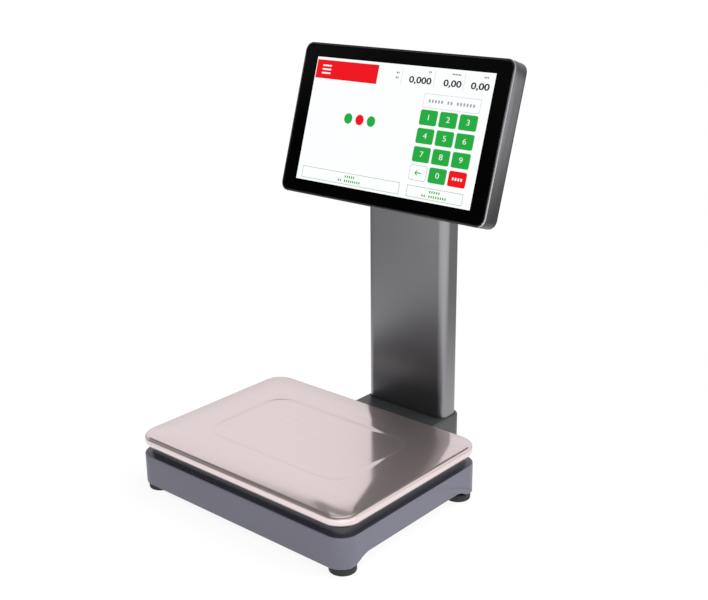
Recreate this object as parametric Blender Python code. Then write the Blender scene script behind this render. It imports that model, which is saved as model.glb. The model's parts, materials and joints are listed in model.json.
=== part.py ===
"""Retail price scale: weighing base, steel platter, column and tilting touch terminal.

Units are metres, +Z is up, the operator stands on the -Y side. Sizes are worked out in a
frame centred under the platter; a root empty shifts everything so that the whole object is
centred on the world origin and stands on z = 0.
"""
import math

import bmesh
import bpy
from mathutils import Vector

# Clearances
GAP = 0.0003
BORE_GAP = 0.0003
HOLE_GAP = 0.0004
CUT_PAST = 0.010
NOTCH_GAP = 0.001

# Screws
M5_R = 0.0025
M4_R = 0.002
M3_R = 0.0015
M5_HEAD_R = 0.0045
M4_HEAD_R = 0.004
M3_HEAD_R = 0.003
M5_HEAD_H = 0.003
M4_HEAD_H = 0.0022
M3_HEAD_H = 0.0016
THREAD_DEPTH = 0.010
TIP_GAP = 0.001
POST_THREAD = 0.012

# Platter (pressed stainless tray)
PLATTER_W = 0.320
PLATTER_D = 0.237
PLATTER_TOP = 0.070
PLATTER_R = 0.024
SHEET = 0.0015
SKIRT_H = 0.0145
BEND_R = 0.004
CROWN_W = 0.014
CROWN_DROP = 0.0008
PANEL_W = 0.200
PANEL_D = 0.118
PANEL_R = 0.020
PANEL_DROP = 0.001
PANEL_SLOPE = 0.004

# Base housing (painted casting)
WALL = 0.0035
HOUSING_R = 0.022
LEG_Z = 0.009
SKIRT_CLEAR = 0.0025
SHOULDER_H = 0.008
SHOULDER_IN = 0.008
GRIP_H = 0.0085
GRIP_LEN = 0.194
GRIP_R = 0.008
SCOOP_H = 0.019
SCOOP_LEN = 0.200
SCOOP_R = 0.0185
SCOOP_SINK = 0.0018
WALL_EDGE = 0.0012
HOLE_MARGIN = 0.007
HOLE_CORNER = 0.006
STOP_R = 0.004

# Levelling feet
FOOT_INSET_X = 0.018
FOOT_INSET_Y = 0.0185
FOOT_R = 0.0148
LEG_R = 0.010
SCREW_R = 0.004
SCREW_LEN = 0.030
PAD_FLOOR = 0.003
PAD_EDGE = 0.001
PAD_NECK = 0.0015

# Chassis plate and load cell
CHASSIS_T = 0.003
CHASSIS_LIFT = 0.0015
POST_R = 0.005
POST_INSET = 0.004
CELL_L = 0.130
CELL_W = 0.030
CELL_H = 0.020
CELL_REACH = 0.050
CELL_PITCH = 0.015
SPACER_L = 0.032
SPACER_T = 0.004
SPACER_R = 0.003
ADC_W = 0.060
ADC_D = 0.040
ADC_LIFT = 0.006
STANDOFF_R = 0.003
STANDOFF_INSET = 0.004

# Bubble level
LEVEL_R = 0.009
LEVEL_H = 0.0048
LEVEL_WALL = 0.0022
LEVEL_FLOOR = 0.0012
LEVEL_INSET_X = 0.045
LEVEL_INSET_Y = 0.035

# Spider, bumpers and stops
SPIDER_T = 0.0055
SPIDER_BAR_W = 0.022
SPIDER_WEB_W = 0.050
BUMPER_X = 0.080
BUMPER_Y = 0.042
BUMPER_R = 0.007
BUMPER_H = 0.0028
BUMPER_EDGE = 0.001
STOP_GAP = 0.0005

# Pedestal, mast bracket and column
PEDESTAL_W = 0.126
PEDESTAL_R = 0.014
PEDESTAL_FRONT_R = 0.004
PEDESTAL_EDGE = 0.003
PEDESTAL_STEP = 0.001
PEDESTAL_WALL = 0.00245
PEDESTAL_BACK = 0.005
COLUMN_W = 0.116
COLUMN_D = 0.030
COLUMN_R = 0.009
COLUMN_WALL = 0.0025
COLUMN_Y = 0.1972
COLUMN_TOP = 0.370
BRACKET_W = 0.100
BRACKET_T = 0.004
TONGUE_T = 0.006
TONGUE_TOP = 0.095
TONGUE_MARGIN = 0.012
BRACKET_REACH = 0.065

# Column head and tilt hinge
HEAD_PLUG = 0.040
HEAD_CAP = 0.004
HEAD_EDGE = 0.001
HEAD_ROOF = 0.004
HEAD_POCKET_R = 0.004
HEAD_POCKET_SHIFT = 0.002
HINGE_RISE = 0.018
KNUCKLE_R = 0.011
BARREL_HALF = 0.018
WASHER_T = 0.0014
EAR_T = 0.008
PIN_R = 0.005
NUT_T = 0.006
NUT_R = 0.009
PIN_PROUD = 0.002

# Terminal (built upright in the frame of the tilt axis)
TILT_DEG = 17.4
LCD_W = 0.276
LCD_H = 0.156
LCD_T = 0.005
BEZEL_W = 0.014
BEZEL_H = 0.0135
TERMINAL_R = 0.011
TERMINAL_BACK = 0.024
TERMINAL_T = 0.025
RIM = 0.0025
RIM_CHAMFER = 0.001
GLASS_T = 0.0027
GLASS_SINK = 0.0005
LEDGE_W = 0.0055
LEDGE_T = 0.003
FRAME_WALL = 0.003
BOSS_R = 0.005
BOSS_INSET = 0.004
BOSS_THREAD = 0.009
COVER_T = 0.0027
COVER_CHAMFER = 0.0012
VESA = 0.075
VESA_PLATE = 0.100
VESA_T = 0.004
VESA_R = 0.008
ARM_H = 0.016
STIFFENER_T = 0.002
BOARD_W = 0.170
BOARD_H = 0.120
BOARD_T = 0.0016
BOARD_DROP = 0.015
BOARD_DEPTH = 0.009
BOARD_MARGIN = 0.005
VENTS = 9
VENT_PITCH = 0.012
VENT_W = 0.004
VENT_H = 0.022
VENT_R = 0.0019
VENT_DROP = 0.024
PORT_X = 0.032
PORT_RISE = 0.0255
PORT_W = 0.076
PORT_H = 0.014
SOCKET_DEPTH = 0.008
SOCKETS = ((0.007, 0.007), (0.0125, 0.0054), (0.0125, 0.0054), (0.012, 0.0085))
BUTTON_R = 0.006
BUTTON_INSET = 0.042
BUTTON_DROP = 0.0315
BUTTON_OUT = 0.0015
BUTTON_EDGE = 0.0006
FLANGE_W = 0.0015
FLANGE_T = 0.0012

# Levels derived from the sizes above
SKIRT_Z = PLATTER_TOP - SKIRT_H
DECK_Z = SKIRT_Z - SKIRT_CLEAR
WALL_TOP = DECK_Z - SHOULDER_H
DECK_UNDER = DECK_Z - WALL
GRIP_TOP = LEG_Z + GRIP_H
CHASSIS_Z = GRIP_TOP + CHASSIS_LIFT
CHASSIS_TOP = CHASSIS_Z + CHASSIS_T
PANEL_UNDER = PLATTER_TOP - PANEL_DROP - SHEET
BUMPER_TOP = PANEL_UNDER - GAP
SPIDER_TOP = BUMPER_TOP - BUMPER_H - GAP
SPIDER_Z = SPIDER_TOP - SPIDER_T
CELL_Z = CHASSIS_TOP + SPACER_T + 2 * GAP
CELL_TOP = CELL_Z + CELL_H
ADC_Z = CHASSIS_TOP + ADC_LIFT
HALF_W = PLATTER_W / 2
HALF_D = PLATTER_D / 2
ADC_PLACE = (-HALF_W * 0.5, HALF_D * 0.5)
FOOT_X = HALF_W - FOOT_INSET_X
FOOT_Y = HALF_D - FOOT_INSET_Y
PEDESTAL_TOP = WALL_TOP - PEDESTAL_STEP
PEDESTAL_Y0 = HALF_D + GAP
PEDESTAL_Y1 = COLUMN_Y + COLUMN_D / 2 + PEDESTAL_BACK
BRACKET_TOP = CHASSIS_Z - GAP
BRACKET_Z = BRACKET_TOP - BRACKET_T
HINGE_Z = COLUMN_TOP + HINGE_RISE
ROOT_SHIFT = -(PEDESTAL_Y1 - HALF_D) / 2
FRONT = -(TERMINAL_BACK + TERMINAL_T)
BACK = -TERMINAL_BACK
COVER_Y = BACK - COVER_T
FRAME_BACK = COVER_Y - GAP
GLASS_Y = FRONT + GLASS_SINK
LEDGE_Y = GLASS_Y + GLASS_T + GAP
TERMINAL_W = LCD_W + 2 * BEZEL_W
TERMINAL_H = LCD_H + 2 * BEZEL_H
OPEN_W = TERMINAL_W - 2 * RIM
OPEN_H = TERMINAL_H - 2 * RIM
PORT_Z = PORT_RISE - TERMINAL_H / 2
BUTTON_X = BUTTON_INSET - TERMINAL_W / 2
BUTTON_Z = TERMINAL_H / 2 - BUTTON_DROP
M5_HOLE = M5_R + HOLE_GAP
M4_HOLE = M4_R + HOLE_GAP
M3_HOLE = M3_R + HOLE_GAP
M5 = (M5_HEAD_R, M5_HEAD_H, M5_R)
M5_LOW = (M5_HEAD_R, BUMPER_H * 0.8, M5_R)
M4 = (M4_HEAD_R, M4_HEAD_H, M4_R)
M3_WIDE = (M4_HEAD_R, M4_HEAD_H, M3_R)
M3 = (M3_HEAD_R, M3_HEAD_H, M3_R)

CORNERS = ((1, 1), (-1, 1), (-1, -1), (1, -1))
SMOOTH_ANGLE = math.radians(35)


def clear_scene():
    """Remove every object left in the file."""
    for item in list(bpy.data.objects):
        bpy.data.objects.remove(item, do_unlink=True)


def rounded_rect(width, depth, radius, steps=5):
    """Outline of a rounded rectangle about the origin, one radius or four (+ +, - +, - -, + -)."""
    radii = radius if isinstance(radius, tuple) else (radius,) * 4
    points = []
    for index, (sx, sy) in enumerate(CORNERS):
        r = radii[index]
        cx = sx * (width / 2 - r)
        cy = sy * (depth / 2 - r)
        for step in range(steps + 1):
            angle = math.radians(90 * (index + step / steps))
            points.append((cx + r * math.cos(angle), cy + r * math.sin(angle)))
    return points


def circle(radius, steps=20):
    """Outline of a circle about the origin."""
    turn = 2 * math.pi / steps
    return [(radius * math.cos(turn * i), radius * math.sin(turn * i)) for i in range(steps)]


def ring(outline, level, plane="XY", centre=(0.0, 0.0)):
    """Points of an outline set in a plane: XY rises along Z, XZ along Y, YZ along X."""
    points = []
    for u, v in outline:
        u += centre[0]
        v += centre[1]
        if plane == "XY":
            points.append(Vector((u, v, level)))
        elif plane == "XZ":
            points.append(Vector((u, level, v)))
        else:
            points.append(Vector((level, u, v)))
    return points


class Solid:
    """Collects closed solids in one mesh and turns them into a named object."""

    def __init__(self):
        self.bm = bmesh.new()

    def loft(self, rings, loop=False):
        """Skin equal-length rings; the ends are capped, or joined when loop is set."""
        rows = [[self.bm.verts.new(p) for p in points] for points in rings]
        pairs = list(zip(rows, rows[1:]))
        if loop:
            pairs.append((rows[-1], rows[0]))
        count = len(rows[0])
        for low, high in pairs:
            for i in range(count):
                j = (i + 1) % count
                self.bm.faces.new((low[i], low[j], high[j], high[i]))
        if not loop:
            self.bm.faces.new(rows[0])
            self.bm.faces.new(rows[-1])
        return self

    def prism(self, outline, low, high, plane="XY", centre=(0.0, 0.0)):
        """Extrude an outline between two levels."""
        return self.loft([ring(outline, low, plane, centre), ring(outline, high, plane, centre)])

    def box(self, size, centre):
        """Box by its three sizes and its centre."""
        x, y, z = size
        corners = [(x / 2, y / 2), (-x / 2, y / 2), (-x / 2, -y / 2), (x / 2, -y / 2)]
        low, high = centre[2] - z / 2, centre[2] + z / 2
        return self.prism(corners, low, high, "XY", centre[:2])

    def rod(self, radius, low, high, plane="XY", centre=(0.0, 0.0), steps=20):
        """Plain cylinder between two levels."""
        return self.prism(circle(radius, steps), low, high, plane, centre)

    def tube(self, outer, inner, low, high, plane="XY", centre=(0.0, 0.0), steps=20):
        """Open round tube between two levels."""
        out = circle(outer, steps)
        bore = circle(inner, steps)
        rings = [
            ring(out, low, plane, centre),
            ring(out, high, plane, centre),
            ring(bore, high, plane, centre),
            ring(bore, low, plane, centre),
        ]
        return self.loft(rings, loop=True)

    def turned(self, profile, plane="XY", centre=(0.0, 0.0), steps=20):
        """Turned solid from (radius, level) pairs, capped at both ends."""
        return self.loft([ring(circle(r, steps), level, plane, centre) for r, level in profile])

    def screw(self, head, tip, centre, plane, size):
        """Screw of a size whose head seats at level head and whose shank ends at level tip."""
        head_r, head_h, shank_r = size
        way = 1 if tip > head else -1
        profile = [
            (head_r * 0.8, head - way * head_h),
            (head_r, head - way * head_h * 0.6),
            (head_r, head),
            (shank_r, head),
            (shank_r, tip),
        ]
        return self.turned(profile, plane, centre, 10)

    def build(self, name, colour, parent, metallic=0.0, rough=0.5):
        """Make the object, with outward faces and its own material."""
        bmesh.ops.recalc_face_normals(self.bm, faces=self.bm.faces[:])
        mesh = bpy.data.meshes.new(name)
        self.bm.to_mesh(mesh)
        self.bm.free()
        mesh.shade_smooth()
        mesh.set_sharp_from_angle(angle=SMOOTH_ANGLE)
        item = bpy.data.objects.new(name, mesh)
        bpy.context.scene.collection.objects.link(item)
        item.parent = parent
        if colour is None:
            item.hide_render = True
            item.display_type = "WIRE"
            return item
        skin = bpy.data.materials.new(name)
        skin.use_nodes = True
        shader = skin.node_tree.nodes["Principled BSDF"]
        shader.inputs["Base Color"].default_value = (*colour, 1.0)
        shader.inputs["Metallic"].default_value = metallic
        shader.inputs["Roughness"].default_value = rough
        mesh.materials.append(skin)
        return item


def each(prefix, places, make, colour, parent, metallic=0.0, rough=0.5):
    """One object per place; make(solid, place) adds the solid."""
    for index, place in enumerate(places, 1):
        solid = Solid()
        make(solid, place)
        solid.build(f"{prefix}_{index}", colour, parent, metallic, rough)


def combine(target, tool, operation="DIFFERENCE"):
    """Cut a hidden tool from the target, or join it on."""
    step = target.modifiers.new(tool.name, "BOOLEAN")
    step.operation = operation
    step.solver = "EXACT"
    step.object = tool
    return target


def tool(solid, target, label):
    """Hidden helper solid that shares the target's parent."""
    return solid.build(f"{target.name}_{label}", None, target.parent)


def empty(name, location, parent=None, tilt=0.0):
    """Empty that carries a frame or a joint axis."""
    item = bpy.data.objects.new(name, None)
    bpy.context.scene.collection.objects.link(item)
    item.location = location
    item.rotation_euler = (tilt, 0.0, 0.0)
    item.parent = parent
    return item


STEEL = (0.62, 0.62, 0.63)
ZINC = (0.55, 0.56, 0.58)
PAINT = (0.17, 0.17, 0.20)
DARK = (0.11, 0.11, 0.12)
RUBBER = (0.02, 0.02, 0.02)
COLUMN_GREY = (0.14, 0.14, 0.145)
FRAME_GREY = (0.33, 0.33, 0.34)
ALLOY = (0.70, 0.70, 0.72)
FIBRE = (0.30, 0.28, 0.24)
GLASS = (0.012, 0.012, 0.013)
DISPLAY = (0.78, 0.80, 0.82)
VIAL = (0.55, 0.75, 0.20)
PLASTIC = (0.055, 0.055, 0.06)
BOARD = (0.03, 0.20, 0.08)


def foot_places():
    """Plan positions of the four feet, front right first, going round."""
    return [(FOOT_X, -FOOT_Y), (FOOT_X, FOOT_Y), (-FOOT_X, FOOT_Y), (-FOOT_X, -FOOT_Y)]


def post_places(row):
    """Posts under the deck: the front row (-1) takes chassis screws, the rear (1) mast screws."""
    x = HALF_W * 0.45 if row < 0 else BRACKET_W * 0.36
    y = HALF_D - WALL - POST_R - POST_INSET
    return [(sx * x, row * y) for sx in (1, -1)]


def stop_places():
    """Overload stops on the deck, under the bars of the spider."""
    y = BUMPER_Y - 1.4 * BUMPER_R
    return [(sx * BUMPER_X, sy * y) for sx, sy in CORNERS]


def cell_places(side):
    """Screw positions at one end of the load cell (side -1 fixed, +1 live)."""
    centre = side * CELL_REACH
    return [(centre - CELL_PITCH / 2, 0.0), (centre + CELL_PITCH / 2, 0.0)]


def tray_rings(offset):
    """Rings of the platter skin from the skirt edge to the panel, offset inward by the sheet."""
    rings = []

    def add(inset, level):
        inset += offset
        outline = rounded_rect(PLATTER_W - 2 * inset, PLATTER_D - 2 * inset, PLATTER_R - inset, 7)
        rings.append(ring(outline, level))

    edge = PLATTER_TOP - CROWN_DROP
    add(0.0, SKIRT_Z)
    bend = BEND_R - offset
    for step in range(5):
        angle = math.radians(90 * step / 4)
        add(bend * (1 - math.cos(angle)), edge - BEND_R + bend * math.sin(angle))
    add(CROWN_W - offset, PLATTER_TOP - offset)
    for grow, drop in ((PANEL_SLOPE, 0.0), (0.0, PANEL_DROP)):
        outline = rounded_rect(PANEL_W + 2 * grow, PANEL_D + 2 * grow, PANEL_R + grow, 7)
        rings.append(ring(outline, PLATTER_TOP - drop - offset))
    return rings


def make_platter(root):
    """Pressed tray with a skirt, a crowned border and a shallow centre panel."""
    inner = list(reversed(tray_rings(SHEET)))
    outer = tray_rings(0.0)
    Solid().loft(inner + outer).build("platter", STEEL, root, 1.0, 0.22)


def make_housing(root):
    """Base casting: walls, stepped shoulder, deck with the load opening, legs, posts and finger grips."""
    hole_c = (CELL_REACH, 0.0)
    hole = rounded_rect(SPACER_L + 2 * HOLE_MARGIN, CELL_W + 2 * HOLE_MARGIN, HOLE_CORNER)

    def plan(inset, level):
        outline = rounded_rect(PLATTER_W - 2 * inset, PLATTER_D - 2 * inset, HOUSING_R - inset * 0.7)
        return ring(outline, level)

    under = WALL_TOP - WALL
    rings = [
        plan(0.0, LEG_Z),
        plan(0.0, WALL_TOP - WALL_EDGE),
        plan(WALL_EDGE, WALL_TOP),
        plan(SHOULDER_IN, WALL_TOP),
        plan(SHOULDER_IN, DECK_Z),
        ring(hole, DECK_Z, "XY", hole_c),
        ring(hole, DECK_UNDER, "XY", hole_c),
        plan(SHOULDER_IN + WALL, DECK_UNDER),
        plan(SHOULDER_IN + WALL, under),
        plan(WALL, under),
        plan(WALL, LEG_Z),
    ]
    shell = Solid().loft(rings, loop=True).build("base_housing", PAINT, root, 0.2, 0.45)

    legs = Solid()
    bores = Solid()
    for place in foot_places():
        legs.rod(LEG_R, LEG_Z, DECK_UNDER + WALL / 2, "XY", place)
        bores.rod(SCREW_R + BORE_GAP, LEG_Z - CUT_PAST, LEG_Z + SCREW_LEN, "XY", place, 16)
    for place in post_places(-1) + post_places(1):
        legs.rod(POST_R, CHASSIS_TOP + GAP, DECK_UNDER + WALL / 2, "XY", place, 12)
        bores.rod(M4_HOLE, CHASSIS_Z, CHASSIS_TOP + POST_THREAD + 2 * TIP_GAP, "XY", place, 12)
    for place in stop_places():
        legs.rod(STOP_R, DECK_Z - WALL / 2, SPIDER_Z - STOP_GAP, "XY", place, 12)
    combine(shell, tool(legs, shell, "legs"), "UNION")
    combine(shell, tool(bores, shell, "bores"))

    grip = rounded_rect(GRIP_LEN, 2 * GRIP_H, GRIP_R)
    scoop = rounded_rect(SCOOP_LEN, 2 * SCOOP_H, SCOOP_R)
    grips = Solid()
    scoops = Solid()
    for side in (1, -1):
        grips.prism(grip, side * (HALF_W - 2 * WALL), side * (HALF_W + WALL), "YZ", (0.0, LEG_Z))
        scoops.prism(scoop, side * (HALF_W - SCOOP_SINK), side * (HALF_W + WALL), "YZ", (0.0, LEG_Z))
    combine(shell, tool(scoops, shell, "scoops"))
    combine(shell, tool(grips, shell, "grips"))
    notch = Solid().box(
        (BRACKET_W + 2 * NOTCH_GAP, 4 * WALL, 2 * (BRACKET_TOP - LEG_Z + NOTCH_GAP)), (0.0, HALF_D, LEG_Z)
    )
    combine(shell, tool(notch, shell, "notch"))


def make_feet(root):
    """Levelling feet: steel screws in tapped legs, with rubber pads."""
    bore = SCREW_R + BORE_GAP
    for index, place in enumerate(foot_places(), 1):
        axis = empty(f"foot_axis_{index}", (*place, 0.0), root)
        pad_top = LEG_Z - 2 * GAP
        pad = [
            (FOOT_R - PAD_EDGE, 0.0),
            (FOOT_R, PAD_EDGE),
            (FOOT_R, pad_top * 0.6),
            (FOOT_R - PAD_NECK, pad_top),
            (bore, pad_top),
            (bore, PAD_FLOOR),
        ]
        Solid().turned(pad).build(f"foot_pad_{index}", RUBBER, axis, 0.0, 0.8)
        low = PAD_FLOOR + GAP
        tip = low + SCREW_LEN
        taper = SCREW_R * 0.25
        stud = [(SCREW_R - taper, low), (SCREW_R, low + taper), (SCREW_R, tip - taper), (SCREW_R - taper, tip)]
        Solid().turned(stud, steps=16).build(f"foot_screw_{index}", ZINC, axis, 1.0, 0.35)


def make_chassis(root):
    """Steel bottom plate with its screws."""
    inset = WALL + GAP
    outline = rounded_rect(PLATTER_W - 2 * inset, PLATTER_D - 2 * inset, HOUSING_R)
    plate = Solid().prism(outline, CHASSIS_Z, CHASSIS_TOP).build("chassis_plate", ZINC, root, 1.0, 0.4)
    cuts = Solid()
    for place in foot_places():
        cuts.rod(LEG_R + 2 * GAP, CHASSIS_Z - CUT_PAST, CHASSIS_TOP + CUT_PAST, "XY", place)
    for place in post_places(-1) + post_places(1) + cell_places(-1):
        cuts.rod(M5_HOLE, CHASSIS_Z - CUT_PAST, CHASSIS_TOP + CUT_PAST, "XY", place, 12)
    combine(plate, tool(cuts, plate, "cuts"))
    legs = Solid()
    for place in standoff_places():
        legs.rod(STANDOFF_R, CHASSIS_Z + CHASSIS_T / 2, ADC_Z - GAP, "XY", place, 12)
    combine(plate, tool(legs, plate, "standoffs"), "UNION")

    def screw(solid, place):
        solid.screw(CHASSIS_Z - GAP, CHASSIS_TOP + POST_THREAD, place, "XY", M4)

    each("chassis_screw", post_places(-1), screw, ZINC, root, 1.0, 0.35)


def make_load_cell(root):
    """Single point load cell between two spacers, with its screws."""
    cell = Solid().box((CELL_L, CELL_W, CELL_H), (0.0, 0.0, CELL_Z + CELL_H / 2))
    cell = cell.build("load_cell", ALLOY, root, 1.0, 0.35)
    eye = rounded_rect(CELL_L * 0.4, CELL_H * 0.66, CELL_H * 0.32, 6)
    cuts = Solid().prism(eye, -CELL_W, CELL_W, "XZ", (0.0, CELL_Z + CELL_H / 2))
    for x, y in cell_places(-1):
        cuts.rod(M5_HOLE, CELL_Z - CUT_PAST, CELL_Z + THREAD_DEPTH, "XY", (x, y), 12)
    for x, y in cell_places(1):
        cuts.rod(M5_HOLE, CELL_TOP - THREAD_DEPTH, CELL_TOP + CUT_PAST, "XY", (x, y), 12)
    combine(cell, tool(cuts, cell, "cuts"))

    spans = {
        "cell_spacer_fixed": (-1, CHASSIS_TOP + GAP, CELL_Z - GAP),
        "cell_spacer_live": (1, CELL_TOP + GAP, SPIDER_Z - GAP),
    }
    for name, (side, low, high) in spans.items():
        centre = (side * CELL_REACH, 0.0)
        block = Solid().prism(rounded_rect(SPACER_L, CELL_W, SPACER_R, 3), low, high, "XY", centre)
        block = block.build(name, ALLOY, root, 1.0, 0.4)
        cuts = Solid()
        for place in cell_places(side):
            cuts.rod(M5_HOLE, low - CUT_PAST, high + CUT_PAST, "XY", place, 12)
        combine(block, tool(cuts, block, "cuts"))

    def fixed(solid, place):
        solid.screw(CHASSIS_Z - GAP, CELL_Z + THREAD_DEPTH - TIP_GAP, place, "XY", M5)

    def live(solid, place):
        solid.screw(SPIDER_TOP + GAP, CELL_TOP - THREAD_DEPTH + TIP_GAP, place, "XY", M5_LOW)

    each("cell_screw_fixed", cell_places(-1), fixed, ZINC, root, 1.0, 0.3)
    each("cell_screw_live", cell_places(1), live, ZINC, root, 1.0, 0.3)


def make_spider(root):
    """H-shaped platter carrier with four rubber bumpers."""
    bar = SPIDER_BAR_W / 2
    web = SPIDER_WEB_W / 2
    end = BUMPER_Y + SPIDER_BAR_W / 2
    inner = BUMPER_X - bar
    outer = BUMPER_X + bar
    quarter = [(outer, end), (inner, end), (inner, web)]
    outline = quarter + [(-x, y) for x, y in reversed(quarter)]
    outline += [(-x, -y) for x, y in quarter] + [(x, -y) for x, y in reversed(quarter)]
    spider = Solid().prism(outline, SPIDER_Z, SPIDER_TOP).build("platter_spider", DARK, root, 0.6, 0.5)
    stem = BUMPER_R * 0.45
    profile = [
        (stem, SPIDER_Z + SPIDER_T / 5),
        (stem, SPIDER_TOP + GAP),
        (BUMPER_R, SPIDER_TOP + GAP),
        (BUMPER_R, BUMPER_TOP - BUMPER_EDGE),
        (BUMPER_R - BUMPER_EDGE, BUMPER_TOP),
    ]
    places = [(sx * BUMPER_X, sy * BUMPER_Y) for sx, sy in CORNERS]
    cuts = Solid()
    for place in places:
        cuts.rod(stem + GAP, SPIDER_Z - CUT_PAST, SPIDER_TOP + CUT_PAST, "XY", place, 16)
    for place in cell_places(1):
        cuts.rod(M5_HOLE, SPIDER_Z - CUT_PAST, SPIDER_TOP + CUT_PAST, "XY", place, 12)
    combine(spider, tool(cuts, spider, "cuts"))

    def bumper(solid, place):
        solid.turned(profile, "XY", place, 12)

    each("platter_bumper", places, bumper, RUBBER, root, 0.0, 0.8)


def make_instruments(root):
    """Bubble level on the deck and the measuring board over the chassis plate."""
    place = (-HALF_W + LEVEL_INSET_X, -HALF_D + LEVEL_INSET_Y)
    low = DECK_Z + GAP
    rim = low + LEVEL_H - GAP
    bore = LEVEL_R - LEVEL_WALL
    cup = [(LEVEL_R, low), (LEVEL_R, rim), (bore, rim), (bore, low + LEVEL_FLOOR)]
    Solid().turned(cup, "XY", place).build("level_housing", DARK, root, 0.0, 0.6)
    lens = bore - GAP
    vial = [(lens, low + LEVEL_FLOOR + GAP), (lens, rim - 2 * GAP), (lens * 0.6, low + LEVEL_H)]
    Solid().turned(vial, "XY", place).build("level_vial", VIAL, root, 0.0, 0.1)
    board = Solid().box((ADC_W, ADC_D, BOARD_T), (*ADC_PLACE, ADC_Z + BOARD_T / 2))
    board.build("adc_board", BOARD, root, 0.0, 0.5)


def standoff_places():
    """Pressed standoffs under the corners of the measuring board."""
    x, y = ADC_PLACE
    dx, dy = ADC_W / 2 - STANDOFF_INSET, ADC_D / 2 - STANDOFF_INSET
    return [(x + sx * dx, y + sy * dy) for sx, sy in CORNERS]


def make_pedestal(root):
    """Shell behind the base that closes the foot of the column."""
    mid = (PEDESTAL_Y0 + PEDESTAL_Y1) / 2
    depth = PEDESTAL_Y1 - PEDESTAL_Y0

    def plan(inset, level):
        back = PEDESTAL_R - inset * 0.7
        front = PEDESTAL_FRONT_R - inset * 0.7
        outline = rounded_rect(PEDESTAL_W - 2 * inset, depth - 2 * inset, (back, back, front, front))
        return ring(outline, level, "XY", (0.0, mid))

    slot = rounded_rect(COLUMN_W + 4 * GAP, COLUMN_D + 4 * GAP, COLUMN_R + 2 * GAP)
    roof = PEDESTAL_TOP - WALL
    rings = [plan(0.0, LEG_Z)]
    for step in range(4):
        angle = math.radians(30 * step)
        inset = PEDESTAL_EDGE * (1 - math.cos(angle))
        rings.append(plan(inset, PEDESTAL_TOP - PEDESTAL_EDGE * (1 - math.sin(angle))))
    rings.append(ring(slot, PEDESTAL_TOP, "XY", (0.0, COLUMN_Y)))
    rings.append(ring(slot, roof, "XY", (0.0, COLUMN_Y)))
    rings.append(plan(PEDESTAL_WALL, roof))
    rings.append(plan(PEDESTAL_WALL, LEG_Z))
    shell = Solid().loft(rings, loop=True).build("column_pedestal", DARK, root, 0.1, 0.5)
    notch = Solid().box(
        (BRACKET_W + 2 * NOTCH_GAP, 2 * CUT_PAST, 2 * (BRACKET_TOP - LEG_Z + NOTCH_GAP)),
        (0.0, PEDESTAL_Y0, LEG_Z),
    )
    combine(shell, tool(notch, shell, "notch"))


def tongue_places():
    """Screws that hold the column to the upright tongue, as (x, z)."""
    return [(sx * BRACKET_W * 0.32, TONGUE_TOP - TONGUE_MARGIN) for sx in (1, -1)]


def make_mast(root):
    """Folded steel bracket, the extruded column and the screws that join them."""
    face = COLUMN_Y + COLUMN_D / 2
    back = face - COLUMN_WALL - GAP
    front = HALF_D - BRACKET_REACH
    outline = [
        (front, BRACKET_Z),
        (back, BRACKET_Z),
        (back, TONGUE_TOP),
        (back - TONGUE_T, TONGUE_TOP),
        (back - TONGUE_T, BRACKET_TOP),
        (front, BRACKET_TOP),
    ]
    bracket = Solid().prism(outline, -BRACKET_W / 2, BRACKET_W / 2, "YZ")
    bracket = bracket.build("mast_bracket", ZINC, root, 1.0, 0.4)
    cuts = Solid()
    for place in post_places(1):
        cuts.rod(M4_HOLE, BRACKET_Z - CUT_PAST, BRACKET_TOP + CUT_PAST, "XY", place, 12)
    for place in tongue_places():
        cuts.rod(M4_HOLE, back - TONGUE_T - CUT_PAST, back + CUT_PAST, "XZ", place, 12)
    combine(bracket, tool(cuts, bracket, "cuts"))

    def screw(solid, place):
        solid.screw(BRACKET_Z - GAP, CHASSIS_TOP + POST_THREAD, place, "XY", M4)

    each("mast_screw", post_places(1), screw, ZINC, root, 1.0, 0.35)

    low = BRACKET_TOP + GAP
    outer = rounded_rect(COLUMN_W, COLUMN_D, COLUMN_R)
    inner = rounded_rect(COLUMN_W - 2 * COLUMN_WALL, COLUMN_D - 2 * COLUMN_WALL, COLUMN_R - COLUMN_WALL)
    centre = (0.0, COLUMN_Y)
    rings = [ring(outer, low, "XY", centre), ring(outer, COLUMN_TOP, "XY", centre)]
    rings += [ring(inner, COLUMN_TOP, "XY", centre), ring(inner, low, "XY", centre)]
    column = Solid().loft(rings, loop=True).build("column", COLUMN_GREY, root, 0.7, 0.35)
    cuts = Solid()
    for place in tongue_places() + head_places():
        cuts.rod(M4_HOLE, back - GAP, face + CUT_PAST, "XZ", place, 12)
    combine(column, tool(cuts, column, "cuts"))

    def bolt(solid, place):
        solid.screw(face + GAP, back - TONGUE_T + TIP_GAP, place, "XZ", M4)

    each("column_screw", tongue_places(), bolt, ZINC, root, 1.0, 0.3)


def head_places():
    """Screws that hold the head in the column, as (x, z)."""
    return [(sx * COLUMN_W * 0.3, COLUMN_TOP - HEAD_PLUG / 2) for sx in (1, -1)]


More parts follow.
